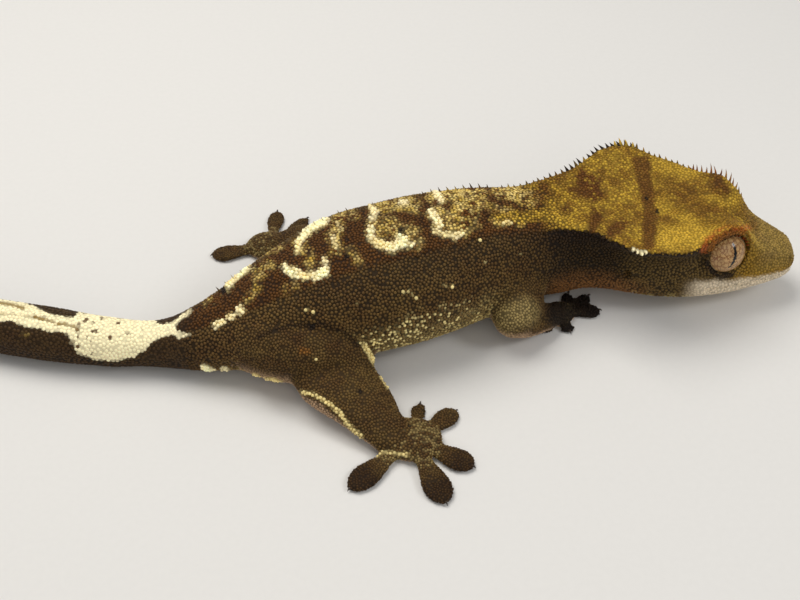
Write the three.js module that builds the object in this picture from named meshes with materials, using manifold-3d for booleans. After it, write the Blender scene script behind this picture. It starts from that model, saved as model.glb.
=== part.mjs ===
// A crested gecko at life size, lying at rest with its head level and its tail out behind.
// Millimetres, +Z up, +X towards the snout, and the floor is z = 0.
// The body is worked out on a floor plan whose x = 0 is the middle of the trunk, and the last
// lines move the whole of it so that the middle of its footprint is the origin.

import * as THREE from "three";
import { mergeVertices } from "three/addons/utils/BufferGeometryUtils.js";
import Module from "manifold-3d";

const wasm = await Module();
wasm.setup();

// Driving dimensions
const GAP = 0.3; // seam that neighbouring pieces keep between them
const SNOUT_TIP = [74.2, 12.4]; // place of the snout's tip on the plan
const HEAD_YAW = -0.07; // the head's turn towards the near side, in radians
const EYE_RADIUS = 4.25;
const EYE_BEHIND_SNOUT = 14.85;
const EYE_FROM_MIDLINE = 5.3; // eyeball's middle
const EYE_HEIGHT = 13.1;
const EYE_FORWARD = 0.36; // how far each eye looks forward of straight out, in radians
const EYE_UP = 0.24; // and up

const ORBIT_RADIUS = 4.15; // of the rim's ring
const ORBIT_THICKNESS = 0.75;
const ORBIT_OUT = 2.1; // from the eyeball's middle out to the orbit rim
const OPENING_RADIUS = 3.95;
const SPINE_SUNK = 0.5; // root of a spine inside the skin
const SPINE_CLEAR = 0.14; // stations kept clear of spines at a seam

const AROUND = 3; // ring points for each of the section's ten key points
const LIMB_SIDES = 10;
const LIMB_RINGS = 6;
const TOE_SIDES = 6;
const TUBE_RINGS = 15;

// Colours of the finishes
const OLIVE = 0x4a3c22;
const GOLD = 0x9c7a26;
const IRIS = 0xa98d70;

const UP = new THREE.Vector3(0, 0, 1);

// Interpolation

// Value at place t of a smooth curve through values, t counted in steps between them.
function along(values, t) {
  const last = values.length - 1;
  const i = Math.min(Math.max(Math.floor(t), 0), last - 1);
  const f = t - i;
  const [a, b] = [values[i], values[i + 1]];
  const before = i > 0 ? values[i - 1] : 2 * a - b;
  const after = i < last - 1 ? values[i + 2] : 2 * b - a;
  return (
    a +
    0.5 *
      f *
      (b - before +
        f * (2 * before - 5 * a + 4 * b - after + f * (3 * (a - b) + after - before)))
  );
}

// Every named value of a station, at place t along a list of stations.
function stationAt(stations, t) {
  const made = {};
  for (const key of Object.keys(stations[0]))
    made[key] = along(stations.map((s) => s[key]), t);
  return made;
}

// Trunk: one run of cross-sections from the snout to the tip of the tail

// A section is drawn through a top, a rim, a side, a widest, a low and a bottom point. Widths are
// half widths, and heights are above the floor.
function headSection(behind, top, rim, side, wide, low, bottom) {
  const neckTurn = 0.008 * Math.max(behind - 30, 0) ** 2;
  return {
    x: SNOUT_TIP[0] - behind * Math.cos(HEAD_YAW),
    y: SNOUT_TIP[1] - behind * Math.sin(HEAD_YAW) - neckTurn,
    top,
    rimW: rim[0],
    rimZ: rim[1],
    sideW: side[0],
    sideZ: side[1],
    wideW: wide[0],
    wideZ: wide[1],
    lowW: low[0],
    lowZ: low[1],
    bottom,
  };
}

// The rounder sections behind the neck follow from a half width, a top and a bottom.
function bodySection(x, y, half, top, bottom, rimShare = 0.5) {
  const middle = (top + bottom) / 2;
  const rise = (top - bottom) / 2;
  return {
    x,
    y,
    top,
    rimW: rimShare * half,
    rimZ: middle + 0.87 * rise,
    sideW: 0.84 * half,
    sideZ: middle + 0.56 * rise,
    wideW: half,
    wideZ: middle - 0.05 * rise,
    lowW: 0.76 * half,
    lowZ: middle - 0.68 * rise,
    bottom,
  };
}

const TRUNK = [
  headSection(0.12, 9.2, [0.8, 9.1], [1.3, 8.6], [1.6, 7.8], [1.1, 6.7], 6.4),
  headSection(0.8, 10.3, [2.0, 10.0], [2.9, 9.3], [3.3, 7.7], [2.4, 5.9], 5.5),
  headSection(2.4, 11.3, [2.9, 11.0], [4.2, 9.9], [4.8, 7.6], [3.6, 5.2], 4.7),
  headSection(5.2, 12.4, [3.7, 12.2], [5.3, 10.6], [6.2, 7.5], [4.8, 4.7], 4.0),
  headSection(8.4, 13.9, [5.0, 13.9], [6.0, 11.6], [7.3, 7.4], [5.8, 4.3], 3.5),
  headSection(11.2, 16.0, [5.7, 18.0], [6.2, 12.8], [8.1, 7.3], [6.7, 4.0], 3.2),
  headSection(14.6, 17.8, [7.5, 20.3], [6.9, 13.4], [9.0, 7.4], [7.5, 3.9], 2.9),
  headSection(18.4, 18.1, [9.9, 19.2], [8.2, 13.8], [10.1, 7.8], [8.3, 3.9], 2.7),
  headSection(22.4, 17.6, [12.7, 18.7], [10.0, 14.4], [10.8, 8.4], [8.8, 3.9], 2.5),
  headSection(27.0, 18.1, [13.9, 19.5], [10.6, 15.0], [10.9, 8.8], [8.8, 3.9], 2.4),
  headSection(31.6, 18.7, [15.3, 20.4], [10.5, 15.6], [10.3, 9.2], [8.2, 3.9], 2.4),
  headSection(35.6, 19.0, [13.6, 20.6], [9.6, 15.8], [9.4, 9.8], [7.4, 3.9], 2.4),
  headSection(40.2, 19.3, [9.6, 20.1], [8.4, 15.8], [8.9, 10.2], [6.9, 3.7], 2.0),
  headSection(45.4, 19.7, [7.1, 19.6], [8.2, 15.8], [9.2, 10.4], [7.1, 3.2], 1.3),
  bodySection(22.5, 11.9, 10.2, 20.9, 0.8, 0.62),
  bodySection(13.5, 9.0, 12.2, 22.8, 0.1, 0.54),
  bodySection(2.5, 4.6, 13.8, 23.6, 0.0, 0.5),
  bodySection(-9.5, 0.2, 13.5, 23.2, 0.0, 0.5),
  bodySection(-19.0, -3.2, 11.2, 20.4, 0.2, 0.5),
  bodySection(-27.0, -5.8, 8.6, 16.6, 0.3, 0.5),
  bodySection(-34.5, -7.4, 6.1, 12.6, 0.3, 0.5),
  bodySection(-43.0, -7.9, 4.1, 9.5, 0.5, 0.5),
  bodySection(-52.0, -7.4, 4.3, 9.3, 0.3, 0.5),
  bodySection(-62.5, -5.7, 4.8, 9.8, 0.0, 0.5),
  bodySection(-74.0, -3.0, 4.8, 9.5, 0.0, 0.5),
  bodySection(-86.0, 0.6, 4.0, 7.9, 0.0, 0.5),
  bodySection(-97.0, 6.0, 3.0, 5.9, 0.0, 0.5),
  bodySection(-105.5, 13.2, 2.3, 4.3, 0.0, 0.5),
  bodySection(-110.0, 21.5, 2.0, 3.2, 0.0, 0.5),
  bodySection(-110.6, 26.5, 1.3, 2.3, 0.0, 0.5),
  bodySection(-110.4, 27.9, 0.5, 1.4, 0.4, 0.5),
];

// Direction across the trunk, towards the animal's left, at place t.
function acrossAt(t) {
  const step = 0.05;
  const ahead = stationAt(TRUNK, Math.max(t - step, 0));
  const behind = stationAt(TRUNK, Math.min(t + step, TRUNK.length - 1));
  return new THREE.Vector2(-(ahead.y - behind.y), ahead.x - behind.x).normalize();
}

// The ten key points of a section as [sideways, height], from the top round by the left.
function keyPoints(s, grow) {
  const half = [
    [s.rimW, s.rimZ],
    [s.sideW, s.sideZ],
    [s.wideW, s.wideZ],
    [s.lowW, s.lowZ],
  ];
  const centre = (s.top + s.bottom) / 2;
  const pushed = half.map(([w, z]) => {
    const length = Math.hypot(w, z - centre);
    return [w * (1 + grow / length), z + ((z - centre) * grow) / length];
  });
  return [
    [0, s.top + grow],
    ...pushed,
    [0, s.bottom - grow],
    ...pushed.map(([w, z]) => [-w, z]).reverse(),
  ];
}

// Point of the trunk's surface: t along it, k round it in key points, 0 at the top.
function trunkPoint(t, k, grow = 0) {
  const s = stationAt(TRUNK, t);
  const keys = keyPoints(s, grow);
  const count = keys.length;
  const i = Math.floor(k);
  const around = [-1, 0, 1, 2].map((n) => keys[(i + n + count) % count]);
  const [side, height] = [0, 1].map((c) => along(around.map((p) => p[c]), 1 + k - i));
  const across = acrossAt(t);
  return new THREE.Vector3(s.x + across.x * side, s.y + across.y * side, height);
}

// Direction straight out of the trunk's surface at a point of it.
function trunkNormal(t, k) {
  const step = 0.08;
  const forward = trunkPoint(t - step, k).sub(trunkPoint(t + step, k));
  const round = trunkPoint(t, k + step).sub(trunkPoint(t, k - step));
  return forward.cross(round).normalize();
}

// Geometry helpers

// A closed surface over rings of points, each ring listed anticlockwise as seen from the start.
function loft(rings, floor = true) {
  const sides = rings[0].length;
  const points = rings.flat();
  const middle = (ring) =>
    ring.reduce((sum, p) => sum.add(p), new THREE.Vector3()).divideScalar(ring.length);
  const first = points.length;
  points.push(middle(rings[0]), middle(rings[rings.length - 1]));
  const faces = [];
  for (let r = 0; r < rings.length - 1; r++)
    for (let i = 0; i < sides; i++) {
      const [a, b] = [r * sides + i, r * sides + ((i + 1) % sides)];
      const [c, d] = [a + sides, b + sides];
      faces.push(a, b, d, a, d, c);
    }
  const start = (rings.length - 1) * sides;
  for (let i = 0; i < sides; i++) {
    const next = (i + 1) % sides;
    faces.push(first, next, i, first + 1, start + i, start + next);
  }
  const coordinates = points.flatMap((p) => [p.x, p.y, floor ? Math.max(p.z, 0) : p.z]);
  const geometry = new THREE.BufferGeometry();
  geometry.setAttribute("position", new THREE.Float32BufferAttribute(coordinates, 3));
  geometry.setIndex(faces);
  return geometry;
}

// A three.js geometry as a solid that can be joined and cut.
function solid(geometry) {
  const bare = geometry.clone();
  bare.deleteAttribute("normal");
  bare.deleteAttribute("uv");
  const merged = mergeVertices(bare, 1e-4);
  const made = new wasm.Manifold(
    new wasm.Mesh({
      numProp: 3,
      vertProperties: new Float32Array(merged.attributes.position.array),
      triVerts: new Uint32Array(merged.index.array),
    }),
  );
  return made.volume() < 0 ? solid(turnedOut(merged)) : made;
}

// The same surface with every face turned round.
function turnedOut(geometry) {
  const index = geometry.index.array;
  const turned = geometry.clone();
  const swapped = [];
  for (let i = 0; i < index.length; i += 3)
    swapped.push(index[i], index[i + 2], index[i + 1]);
  turned.setIndex(swapped);
  return turned;
}

// The solid's largest closed surface, as a three.js geometry.
function largest(made) {
  const pieces = made.decompose().sort((a, b) => b.volume() - a.volume());
  const mesh = pieces[0].getMesh();
  const positions = [];
  for (let i = 0; i < mesh.numVert; i++)
    for (let c = 0; c < 3; c++) positions.push(mesh.vertProperties[i * mesh.numProp + c]);
  const geometry = new THREE.BufferGeometry();
  geometry.setAttribute("position", new THREE.Float32BufferAttribute(positions, 3));
  geometry.setIndex([...mesh.triVerts]);
  geometry.computeVertexNormals();
  return geometry;
}

const joined = (pieces) => pieces.reduce((sum, piece) => sum.add(piece));
const turnTo = (direction) => new THREE.Quaternion().setFromUnitVectors(UP, direction);

// Everything below the floor, which no piece may reach.
const underfloor = solid(new THREE.BoxGeometry(400, 400, 40).translate(0, 0, -20));

// A ball or egg with the given half sizes, turned by a quaternion.
function egg(centre, halves, turn = new THREE.Quaternion(), across = 14, up = 10) {
  const geometry = new THREE.SphereGeometry(1, across, up);
  geometry.scale(...halves);
  geometry.applyQuaternion(turn);
  geometry.translate(centre.x, centre.y, centre.z);
  return solid(geometry);
}

// A stretch of the trunk from place t0 to t1, grown outwards where it serves as a cutter.
function trunkStretch(t0, t1, rings, grow = 0) {
  const list = [];
  for (let r = 0; r <= rings; r++) {
    const t = t0 + ((t1 - t0) * r) / rings;
    const ring = [];
    for (let i = 0; i < 10 * AROUND; i++) ring.push(trunkPoint(t, i / AROUND, grow));
    list.push(ring);
  }
  return solid(loft(list, grow === 0));
}

// Limbs

// A tube through stations [x, y, z, half width, half height]; its width lies level.
function limb(stations, rings, sides, grow = 0, domed = true) {
  const fields = stations.map(([x, y, z, w, h]) => ({ x, y, z, w, h }));
  const last = fields.length - 1;
  const place = (t) => {
    const s = stationAt(fields, t);
    return new THREE.Vector3(s.x, s.y, s.z);
  };
  const ringAt = (t, scale, shift) => {
    const s = stationAt(fields, t);
    const forward = place(Math.min(t + 0.05, last)).sub(place(Math.max(t - 0.05, 0)));
    forward.normalize();
    const level = UP.clone().cross(forward).normalize();
    const up = forward.clone().cross(level);
    const centre = place(t).addScaledVector(forward, shift * (Math.min(s.w, s.h) + grow));
    return Array.from({ length: sides }, (_, i) => {
      const angle = (2 * Math.PI * i) / sides;
      return centre
        .clone()
        .addScaledVector(level, Math.cos(angle) * (s.w + grow) * scale)
        .addScaledVector(up, Math.sin(angle) * (s.h + grow) * scale);
    });
  };
  const list = [];
  for (let r = 0; r <= rings; r++) list.push(ringAt((last * r) / rings, 1, 0));
  if (domed) {
    list.unshift(ringAt(0, 0.4, -0.92), ringAt(0, 0.8, -0.6));
    list.push(ringAt(last, 0.8, 0.6), ringAt(last, 0.4, 0.92));
  }
  return solid(loft(list, grow === 0));
}

// Toes: share of the length, half width and half height as shares of the pad's half width
const TOE_PROFILE = [
  [0.0, 0.66, 0.6],
  [0.3, 0.54, 0.46],
  [0.54, 0.88, 0.36],
  [0.75, 1.04, 0.32],
  [0.91, 0.78, 0.28],
  [1.0, 0.24, 0.2],
];
const CLAW_LENGTH = 1.5;
const CLAW_RADIUS = 0.34;
const CLAW_HEIGHT = 0.55;

// A toe from the palm to its tip, with a broad pad and a small claw.
function toe(from, tip, pad) {
  const stations = TOE_PROFILE.map(([share, width, height]) => {
    const x = from[0] + (tip[0] - from[0]) * share;
    const y = from[1] + (tip[1] - from[1]) * share;
    return [x, y, height * pad * 0.94, width * pad, height * pad];
  });
  const lean = new THREE.Vector3(tip[0] - from[0], tip[1] - from[1], 0).normalize();
  lean.z = -0.12;
  const claw = new THREE.ConeGeometry(CLAW_RADIUS, CLAW_LENGTH, 4).rotateX(Math.PI / 2);
  claw.applyQuaternion(turnTo(lean.normalize()));
  claw.translate(tip[0], tip[1], CLAW_HEIGHT);
  return limb(stations, TOE_PROFILE.length - 1, TOE_SIDES, 0, false).add(solid(claw));
}

// Each leg: an upper and a lower tube, a palm, and toes from the inner to the outer
const LEGS = {
  hind_right: {
    upper: [
      [-31, -5, 8.0, 5.0, 5.8],
      [-25, -9.4, 8.0, 6.2, 6.8],
      [-17.5, -11.4, 7.8, 6.2, 6.8],
      [-11.6, -12.0, 7.0, 5.4, 5.8],
      [-8.6, -12.2, 6.4, 4.2, 4.6],
    ],
    lower: [
      [-17.0, -11.6, 5.4, 4.6, 4.2],
      [-11.8, -15.6, 4.8, 6.9, 3.9],
      [-6.2, -21.2, 3.7, 5.6, 3.2],
      [-2.9, -25.2, 2.7, 4.1, 2.5],
      [-1.4, -27.2, 2.2, 3.6, 2.1],
    ],
    palm: [2.0, -26.7, 5.2, 4.6, 2.3],
    toes: [
      [3.6, -18.0, 1.5],
      [9.9, -19.8, 2.1],
      [12.4, -32.0, 2.4],
      [7.6, -39.4, 2.6],
      [-8.4, -36.6, 2.4],
    ],
  },
  hind_left: {
    upper: [
      [-28, -4, 7.6, 5.2, 5.6],
      [-22, 3, 7.2, 6.0, 6.0],
      [-15.4, 9.0, 6.6, 5.4, 5.6],
      [-12.0, 12.6, 6.2, 4.6, 4.9],
      [-10.6, 14.2, 5.8, 3.8, 4.2],
    ],
    lower: [
      [-12.0, 13.2, 5.0, 4.2, 3.8],
      [-14.6, 17.6, 4.4, 5.2, 3.5],
      [-18.6, 20.6, 3.4, 4.4, 2.9],
      [-22.0, 21.4, 2.6, 3.2, 2.4],
      [-23.6, 21.6, 2.2, 2.9, 2.0],
    ],
    palm: [-25.8, 22.0, 4.8, 3.7, 2.1],
    toes: [
      [-18.0, 18.6, 1.4],
      [-14.8, 26.4, 2.0],
      [-18.8, 31.2, 1.6],
      [-25.2, 33.4, 1.9],
      [-37.2, 20.0, 2.2],
    ],
  },
  fore_right: {
    upper: [
      [22.8, 9, 8.6, 4.2, 4.6],
      [22.2, 3.6, 8.0, 4.4, 4.8],
      [21.4, -0.6, 7.0, 4.6, 4.8],
      [20.8, -2.4, 6.4, 4.2, 4.4],
    ],
    lower: [
      [22.4, -2.4, 4.6, 3.0, 3.0],
      [25.0, -0.6, 3.8, 3.1, 2.8],
      [27.8, 1.4, 2.7, 2.7, 2.2],
      [29.2, 2.3, 2.2, 2.6, 1.9],
    ],
    palm: [29.8, 3.4, 3.0, 2.7, 1.9],
    toes: [
      [32.4, 9.8, 1.2],
      [36.2, 8.8, 1.5],
      [37.8, 4.8, 1.8],
      [31.6, -1.0, 1.5],
      [26.6, -1.0, 1.3],
    ],
  },
  fore_left: {
    upper: [
      [23.4, 14, 8.6, 4.2, 4.6],
      [22.6, 19.6, 8.0, 4.4, 4.8],
      [21.4, 24.0, 6.8, 4.4, 4.6],
      [20.8, 26.0, 6.2, 4.0, 4.2],
    ],
    lower: [
      [22.2, 26.6, 4.6, 3.0, 3.0],
      [25.2, 28.4, 3.8, 3.1, 2.8],
      [28.6, 30.2, 2.7, 2.7, 2.2],
      [30.2, 31.0, 2.2, 2.6, 1.9],
    ],
    palm: [32.0, 31.6, 3.3, 3.0, 1.9],
    toes: [
      [36.0, 25.6, 1.3],
      [40.2, 29.6, 1.7],
      [40.0, 35.0, 1.9],
      [35.4, 39.2, 1.8],
      [27.6, 37.4, 1.5],
    ],
  },
};

// Palm with toes from its middle.
function foot(leg) {
  const [x, y, halfLong, halfWide, height] = leg.palm;
  const centre = new THREE.Vector3(x, y, height * 0.55);
  const palm = egg(centre, [halfLong, halfWide, height], undefined, 10, 6);
  const toes = leg.toes.map(([tipX, tipY, pad]) => {
    const away = new THREE.Vector2(tipX - x, tipY - y).normalize();
    return toe([x + away.x * 1.2, y + away.y * 1.2], [tipX, tipY], pad);
  });
  return joined([palm, ...toes]);
}

// Spines, lashes and tubercles

// Seeded numbers between 0 and 1.
function numbers(seed) {
  let state = seed;
  return () => {
    state = (state * 1664525 + 1013904223) % 4294967296;
    return state / 4294967296;
  };
}

// A tapered form standing on the trunk at place t and key point k, leaning towards a direction.
function spine(t, k, length, radius, lean = new THREE.Vector3()) {
  const direction = trunkNormal(t, k).add(lean).normalize();
  const height = length + SPINE_SUNK;
  const cone = new THREE.ConeGeometry(radius, height, 4).rotateX(Math.PI / 2);
  const root = trunkPoint(t, k);
  cone.translate(0, 0, height / 2 - SPINE_SUNK).applyQuaternion(turnTo(direction));
  return solid(cone.translate(root.x, root.y, root.z));
}

// Rows down each rim: start and end place, spacing, length by share of the row, foot radius, seed
const ROWS = [
  [4.8, 7.3, 0.95, (share) => 1.0 + 1.2 * Math.sin(Math.PI * share), 0.28, 31], // lashes
  [7.45, 9.5, 1.1, () => 0.8, 0.28, 41],
  [9.6, 14.3, 1.3, (share) => 1.5 - 0.4 * share, 0.36, 51], // crest
  [14.5, 19.6, 1.75, () => 0.8, 0.36, 61],
];

// All of one rim's spines as their place along the trunk and their solid.
function rimSpines(side) {
  const rim = side > 0 ? 1 : 9;
  const made = [];
  for (const [start, end, spacing, lengthAt, radius, seed] of ROWS) {
    const next = numbers(seed + side);
    let t = start;
    while (t < end) {
      const pace = trunkPoint(t, rim).distanceTo(trunkPoint(t + 0.1, rim)) / 0.1;
      const length = lengthAt((t - start) / (end - start)) * (0.8 + 0.4 * next());
      const lean = new THREE.Vector3(0.5 * next() - 0.4, side * 0.3, 0.5 * next());
      const round = rim + side * (0.16 * next() - 0.02);
      made.push({ t, form: spine(t, round, length, radius, lean) });
      t += (spacing * (0.85 + 0.3 * next())) / pace;
    }
  }
  return made;
}

// A narrow tube over the trunk's skin through places [t, k].
function skinTube(places, radius) {
  const path = new THREE.CatmullRomCurve3(places.map(([t, k]) => trunkPoint(t, k)));
  const tube = new THREE.TubeGeometry(path, TUBE_RINGS, radius, 4, false);
  const ends = [path.getPoint(0), path.getPoint(1)];
  const balls = ends.map((p) => egg(p, [radius, radius, radius], undefined, 6, 4));
  const positions = tube.attributes.position;
  const rings = [];
  for (let r = 0; r <= TUBE_RINGS; r++)
    rings.push(
      Array.from({ length: 4 }, (_, i) => new THREE.Vector3().fromBufferAttribute(positions, r * 5 + i)),
    );
  return joined([solid(loft(rings)), ...balls]);
}

// Places along both jaws, from one corner of the mouth round the snout to the other.
function jawPlaces(k, corner) {
  const stops = [corner, 5.4, 3.8, 2.4, 1.2, 0.3];
  return [...stops.map((t) => [t, 10 - k]), ...stops.reverse().map((t) => [t, k])];
}

const material = (color, roughness) =>
  new THREE.MeshStandardMaterial({ color, roughness, metalness: 0 });
const skin = material(OLIVE, 0.75);
const crown = material(GOLD, 0.75);
const iris = material(IRIS, 0.25);

const gecko = new THREE.Group();
function place(name, made, finish) {
  const mesh = new THREE.Mesh(largest(made.subtract(underfloor)), finish);
  mesh.name = name;
  gecko.add(mesh);
}

// Head, neck, torso and tail
const HEAD_END = 11.6;
const NECK_END = 13.7;
const TORSO_END = 20.2;
const TAIL_CUTS = [TORSO_END, 22.4, 24.6, 26.8, TRUNK.length - 1];
const SEAM = GAP / 2 / 9; // in stations, which lie about 9 mm apart where the cuts are

const fromSnout = (x, y, z) =>
  new THREE.Vector3(x, y, z)
    .applyAxisAngle(UP, HEAD_YAW)
    .add(new THREE.Vector3(SNOUT_TIP[0], SNOUT_TIP[1], 0));
const lookOf = (side) =>
  new THREE.Vector3(
    Math.sin(EYE_FORWARD) * Math.cos(EYE_UP),
    side * Math.cos(EYE_FORWARD) * Math.cos(EYE_UP),
    Math.sin(EYE_UP),
  ).applyAxisAngle(UP, HEAD_YAW);
const eyeCentre = (side) => fromSnout(-EYE_BEHIND_SNOUT, side * EYE_FROM_MIDLINE, EYE_HEIGHT);
const eyeBall = (side, radius) =>
  egg(eyeCentre(side), [radius, radius, radius], undefined, 16, 11);

// The way out through the skin in front of an eye.
function opening(side) {
  const halves = [OPENING_RADIUS, OPENING_RADIUS, 3.2];
  const middle = eyeCentre(side).addScaledVector(lookOf(side), 3.6);
  return egg(middle, halves, turnTo(lookOf(side)), 16, 10);
}

// The ring of skin round an eye.
function orbitRim(side) {
  const ring = new THREE.TorusGeometry(ORBIT_RADIUS, ORBIT_THICKNESS, 5, 18);
  ring.applyQuaternion(turnTo(lookOf(side)));
  const middle = eyeCentre(side).addScaledVector(lookOf(side), ORBIT_OUT);
  return solid(ring.translate(middle.x, middle.y, middle.z));
}

const SIDES = [-1, 1];
const spines = SIDES.flatMap(rimSpines);
const spinesBetween = (t0, t1) =>
  spines.filter(({ t }) => t > t0 + SPINE_CLEAR && t < t1 - SPINE_CLEAR).map(({ form }) => form);

let head = joined([
  trunkStretch(0, HEAD_END - SEAM, 27),
  ...SIDES.map(orbitRim),
  skinTube(jawPlaces(2.85, 6.4), 0.5),
]);
for (const side of SIDES) {
  head = head.subtract(opening(side)).subtract(eyeBall(side, EYE_RADIUS + GAP));
  const nostril = trunkPoint(1.35, 5 - side * 3.1);
  head = head.subtract(egg(nostril, [0.5, 0.5, 0.4], undefined, 8, 6));
  const ear = trunkPoint(10.2, 5 - side * 2.15);
  head = head.subtract(egg(ear, [0.55, 1.2, 1.5], undefined, 8, 6));
}
head = head.subtract(skinTube(jawPlaces(3.2, 6.6), 0.28));
place("head", joined([head, ...spinesBetween(0, HEAD_END)]), crown);
place("eye_right", eyeBall(-1, EYE_RADIUS), iris);
place("eye_left", eyeBall(1, EYE_RADIUS), iris);
const neck = trunkStretch(HEAD_END + SEAM, NECK_END - SEAM, 6);
place("neck", joined([neck, ...spinesBetween(HEAD_END, NECK_END)]), crown);
const torso = trunkStretch(NECK_END + SEAM, TORSO_END - SEAM, 17);
place("torso", joined([torso, ...spinesBetween(NECK_END, TORSO_END)]), skin);
TAIL_CUTS.slice(0, -1).forEach((cut, i) => {
  const end = TAIL_CUTS[i + 1] - (i < TAIL_CUTS.length - 2 ? SEAM : 0);
  place(`tail_${i + 1}`, trunkStretch(cut + SEAM, end, 5), skin);
});

// Legs, each piece cut back from what it grows from
const trunkCutter = trunkStretch(8, 24, 32, GAP);
for (const [name, leg] of Object.entries(LEGS)) {
  const upperCutter = limb(leg.upper, LIMB_RINGS, LIMB_SIDES, GAP);
  const lowerCutter = limb(leg.lower, LIMB_RINGS, LIMB_SIDES, GAP);
  const upper = limb(leg.upper, LIMB_RINGS, LIMB_SIDES).subtract(trunkCutter);
  const lower = limb(leg.lower, LIMB_RINGS, LIMB_SIDES);
  place(`${name}_upper`, upper, skin);
  place(`${name}_lower`, lower.subtract(upperCutter).subtract(trunkCutter), skin);
  const end = foot(leg).subtract(lowerCutter).subtract(upperCutter);
  place(`${name}_foot`, end.subtract(trunkCutter), skin);
}

// The middle of the footprint becomes the origin.
const bounds = new THREE.Box3().setFromObject(gecko);
const middle = bounds.getCenter(new THREE.Vector3());
for (const mesh of gecko.children) mesh.geometry.translate(-middle.x, -middle.y, 0);

export default gecko;
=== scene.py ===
"""A crested gecko at life size, dressed in its scales, spines and markings.

Places on the animal are written in millimetres on its floor plan, where +X runs towards the snout,
+Y towards its left and the floor is z = 0, and they are turned into the model's metres at the end.
"""

import logging
import math
from collections.abc import Callable
from dataclasses import dataclass, field, replace
from enum import Enum

import bpy
import numpy as np
from mathutils import Matrix, Vector
from mathutils.bvhtree import BVHTree
from mathutils.kdtree import KDTree


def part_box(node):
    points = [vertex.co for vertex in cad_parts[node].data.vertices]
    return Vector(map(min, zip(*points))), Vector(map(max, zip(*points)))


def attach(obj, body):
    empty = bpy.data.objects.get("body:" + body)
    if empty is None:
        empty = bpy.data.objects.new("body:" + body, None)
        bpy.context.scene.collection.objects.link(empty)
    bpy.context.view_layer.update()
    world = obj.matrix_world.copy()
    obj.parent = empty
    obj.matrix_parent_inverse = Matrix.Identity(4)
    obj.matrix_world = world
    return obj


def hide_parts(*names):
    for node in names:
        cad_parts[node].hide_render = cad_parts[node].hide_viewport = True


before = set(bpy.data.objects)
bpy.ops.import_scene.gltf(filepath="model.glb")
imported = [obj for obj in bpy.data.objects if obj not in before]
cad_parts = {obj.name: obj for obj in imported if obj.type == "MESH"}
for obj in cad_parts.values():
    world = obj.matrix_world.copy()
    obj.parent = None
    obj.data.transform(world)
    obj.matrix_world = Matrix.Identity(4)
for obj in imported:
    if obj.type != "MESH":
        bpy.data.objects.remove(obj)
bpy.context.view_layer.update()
LOG = logging.getLogger("gecko")
MM = 0.001
SNOUT = (74.2, 12.4)
HEAD_YAW = -0.07
FLESH = ["head", "neck", "torso", "tail_1", "tail_2", "tail_3", "tail_4"] + [
    f"{end}_{side}_{piece}"
    for end in ("hind", "fore")
    for side in ("right", "left")
    for piece in ("upper", "lower", "foot")
]


class Region(Enum):
    """Which run of the body a point of the skin belongs to."""

    TRUNK = 0
    UPPER = 1
    LOWER = 2
    PALM = 3
    TOE = 4


# ---------------------------------------------------------------- numbers and curves


def linear(red: float, green: float, blue: float) -> np.ndarray:
    """Turn a display colour of 0 to 255 into linear light.

    Args:
        red: Red, 0 to 255.
        green: Green, 0 to 255.
        blue: Blue, 0 to 255.

    Returns:
        Three linear values.
    """
    c = np.array([red, green, blue], float) / 255
    return np.where(c < 0.04045, c / 12.92, ((c + 0.055) / 1.055) ** 2.4)


def along(values: np.ndarray, t: np.ndarray) -> np.ndarray:
    """Follow a smooth curve through rows of values.

    Args:
        values: One row for each step of the curve.
        t: Places along it, counted in steps.

    Returns:
        One row for each place.
    """
    n = len(values)
    i = np.clip(np.floor(t).astype(int), 0, n - 2)
    f = (t - i)[:, None]
    a, b = values[i], values[i + 1]
    before = np.where((i > 0)[:, None], values[np.maximum(i - 1, 0)], 2 * a - b)
    after = np.where((i < n - 2)[:, None], values[np.minimum(i + 2, n - 1)], 2 * b - a)
    bend = 2 * before - 5 * a + 4 * b - after
    return a + 0.5 * f * (b - before + f * (bend + f * (3 * (a - b) + after - before)))


def step(x: np.ndarray, low: float, high: float) -> np.ndarray:
    """Rise smoothly from 0 at low to 1 at high, or fall where low is the larger."""
    s = np.clip((x - low) / (high - low), 0, 1)
    return s * s * (3 - 2 * s)


def mix(a: np.ndarray, b: np.ndarray, share: np.ndarray) -> np.ndarray:
    """Blend rows a towards b by a share for each row."""
    share = np.clip(share, 0, 1)[:, None]
    return a * (1 - share) + b * share


def noise(points: np.ndarray, cell: float, seed: float = 0.0) -> np.ndarray:
    """Smooth seeded noise from 0 to 1.

    Args:
        points: Places in millimetres.
        cell: Size of the noise's grain in millimetres.
        seed: Picks another noise.

    Returns:
        One value for each place.
    """
    q = points / cell + seed * 17.3
    i = np.floor(q)
    f = q - i
    f = f * f * (3 - 2 * f)
    total = np.zeros(len(points))
    for dx in (0, 1):
        for dy in (0, 1):
            for dz in (0, 1):
                c = i + [dx, dy, dz]
                h = np.sin(c @ np.array([127.1, 311.7, 74.7]) + seed) * 43758.5453
                w = (f[:, 0] if dx else 1 - f[:, 0]) * (f[:, 1] if dy else 1 - f[:, 1])
                total += (h - np.floor(h)) * w * (f[:, 2] if dz else 1 - f[:, 2])
    return total


def numbers(seed: int):
    """Give seeded numbers between 0 and 1, one after another."""
    state = seed
    while True:
        state = (state * 1664525 + 1013904223) % 4294967296
        yield state / 4294967296


def unit(v: np.ndarray) -> np.ndarray:
    """Bring each row to length 1."""
    return v / np.maximum(np.linalg.norm(v, axis=-1, keepdims=True), 1e-9)


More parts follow.
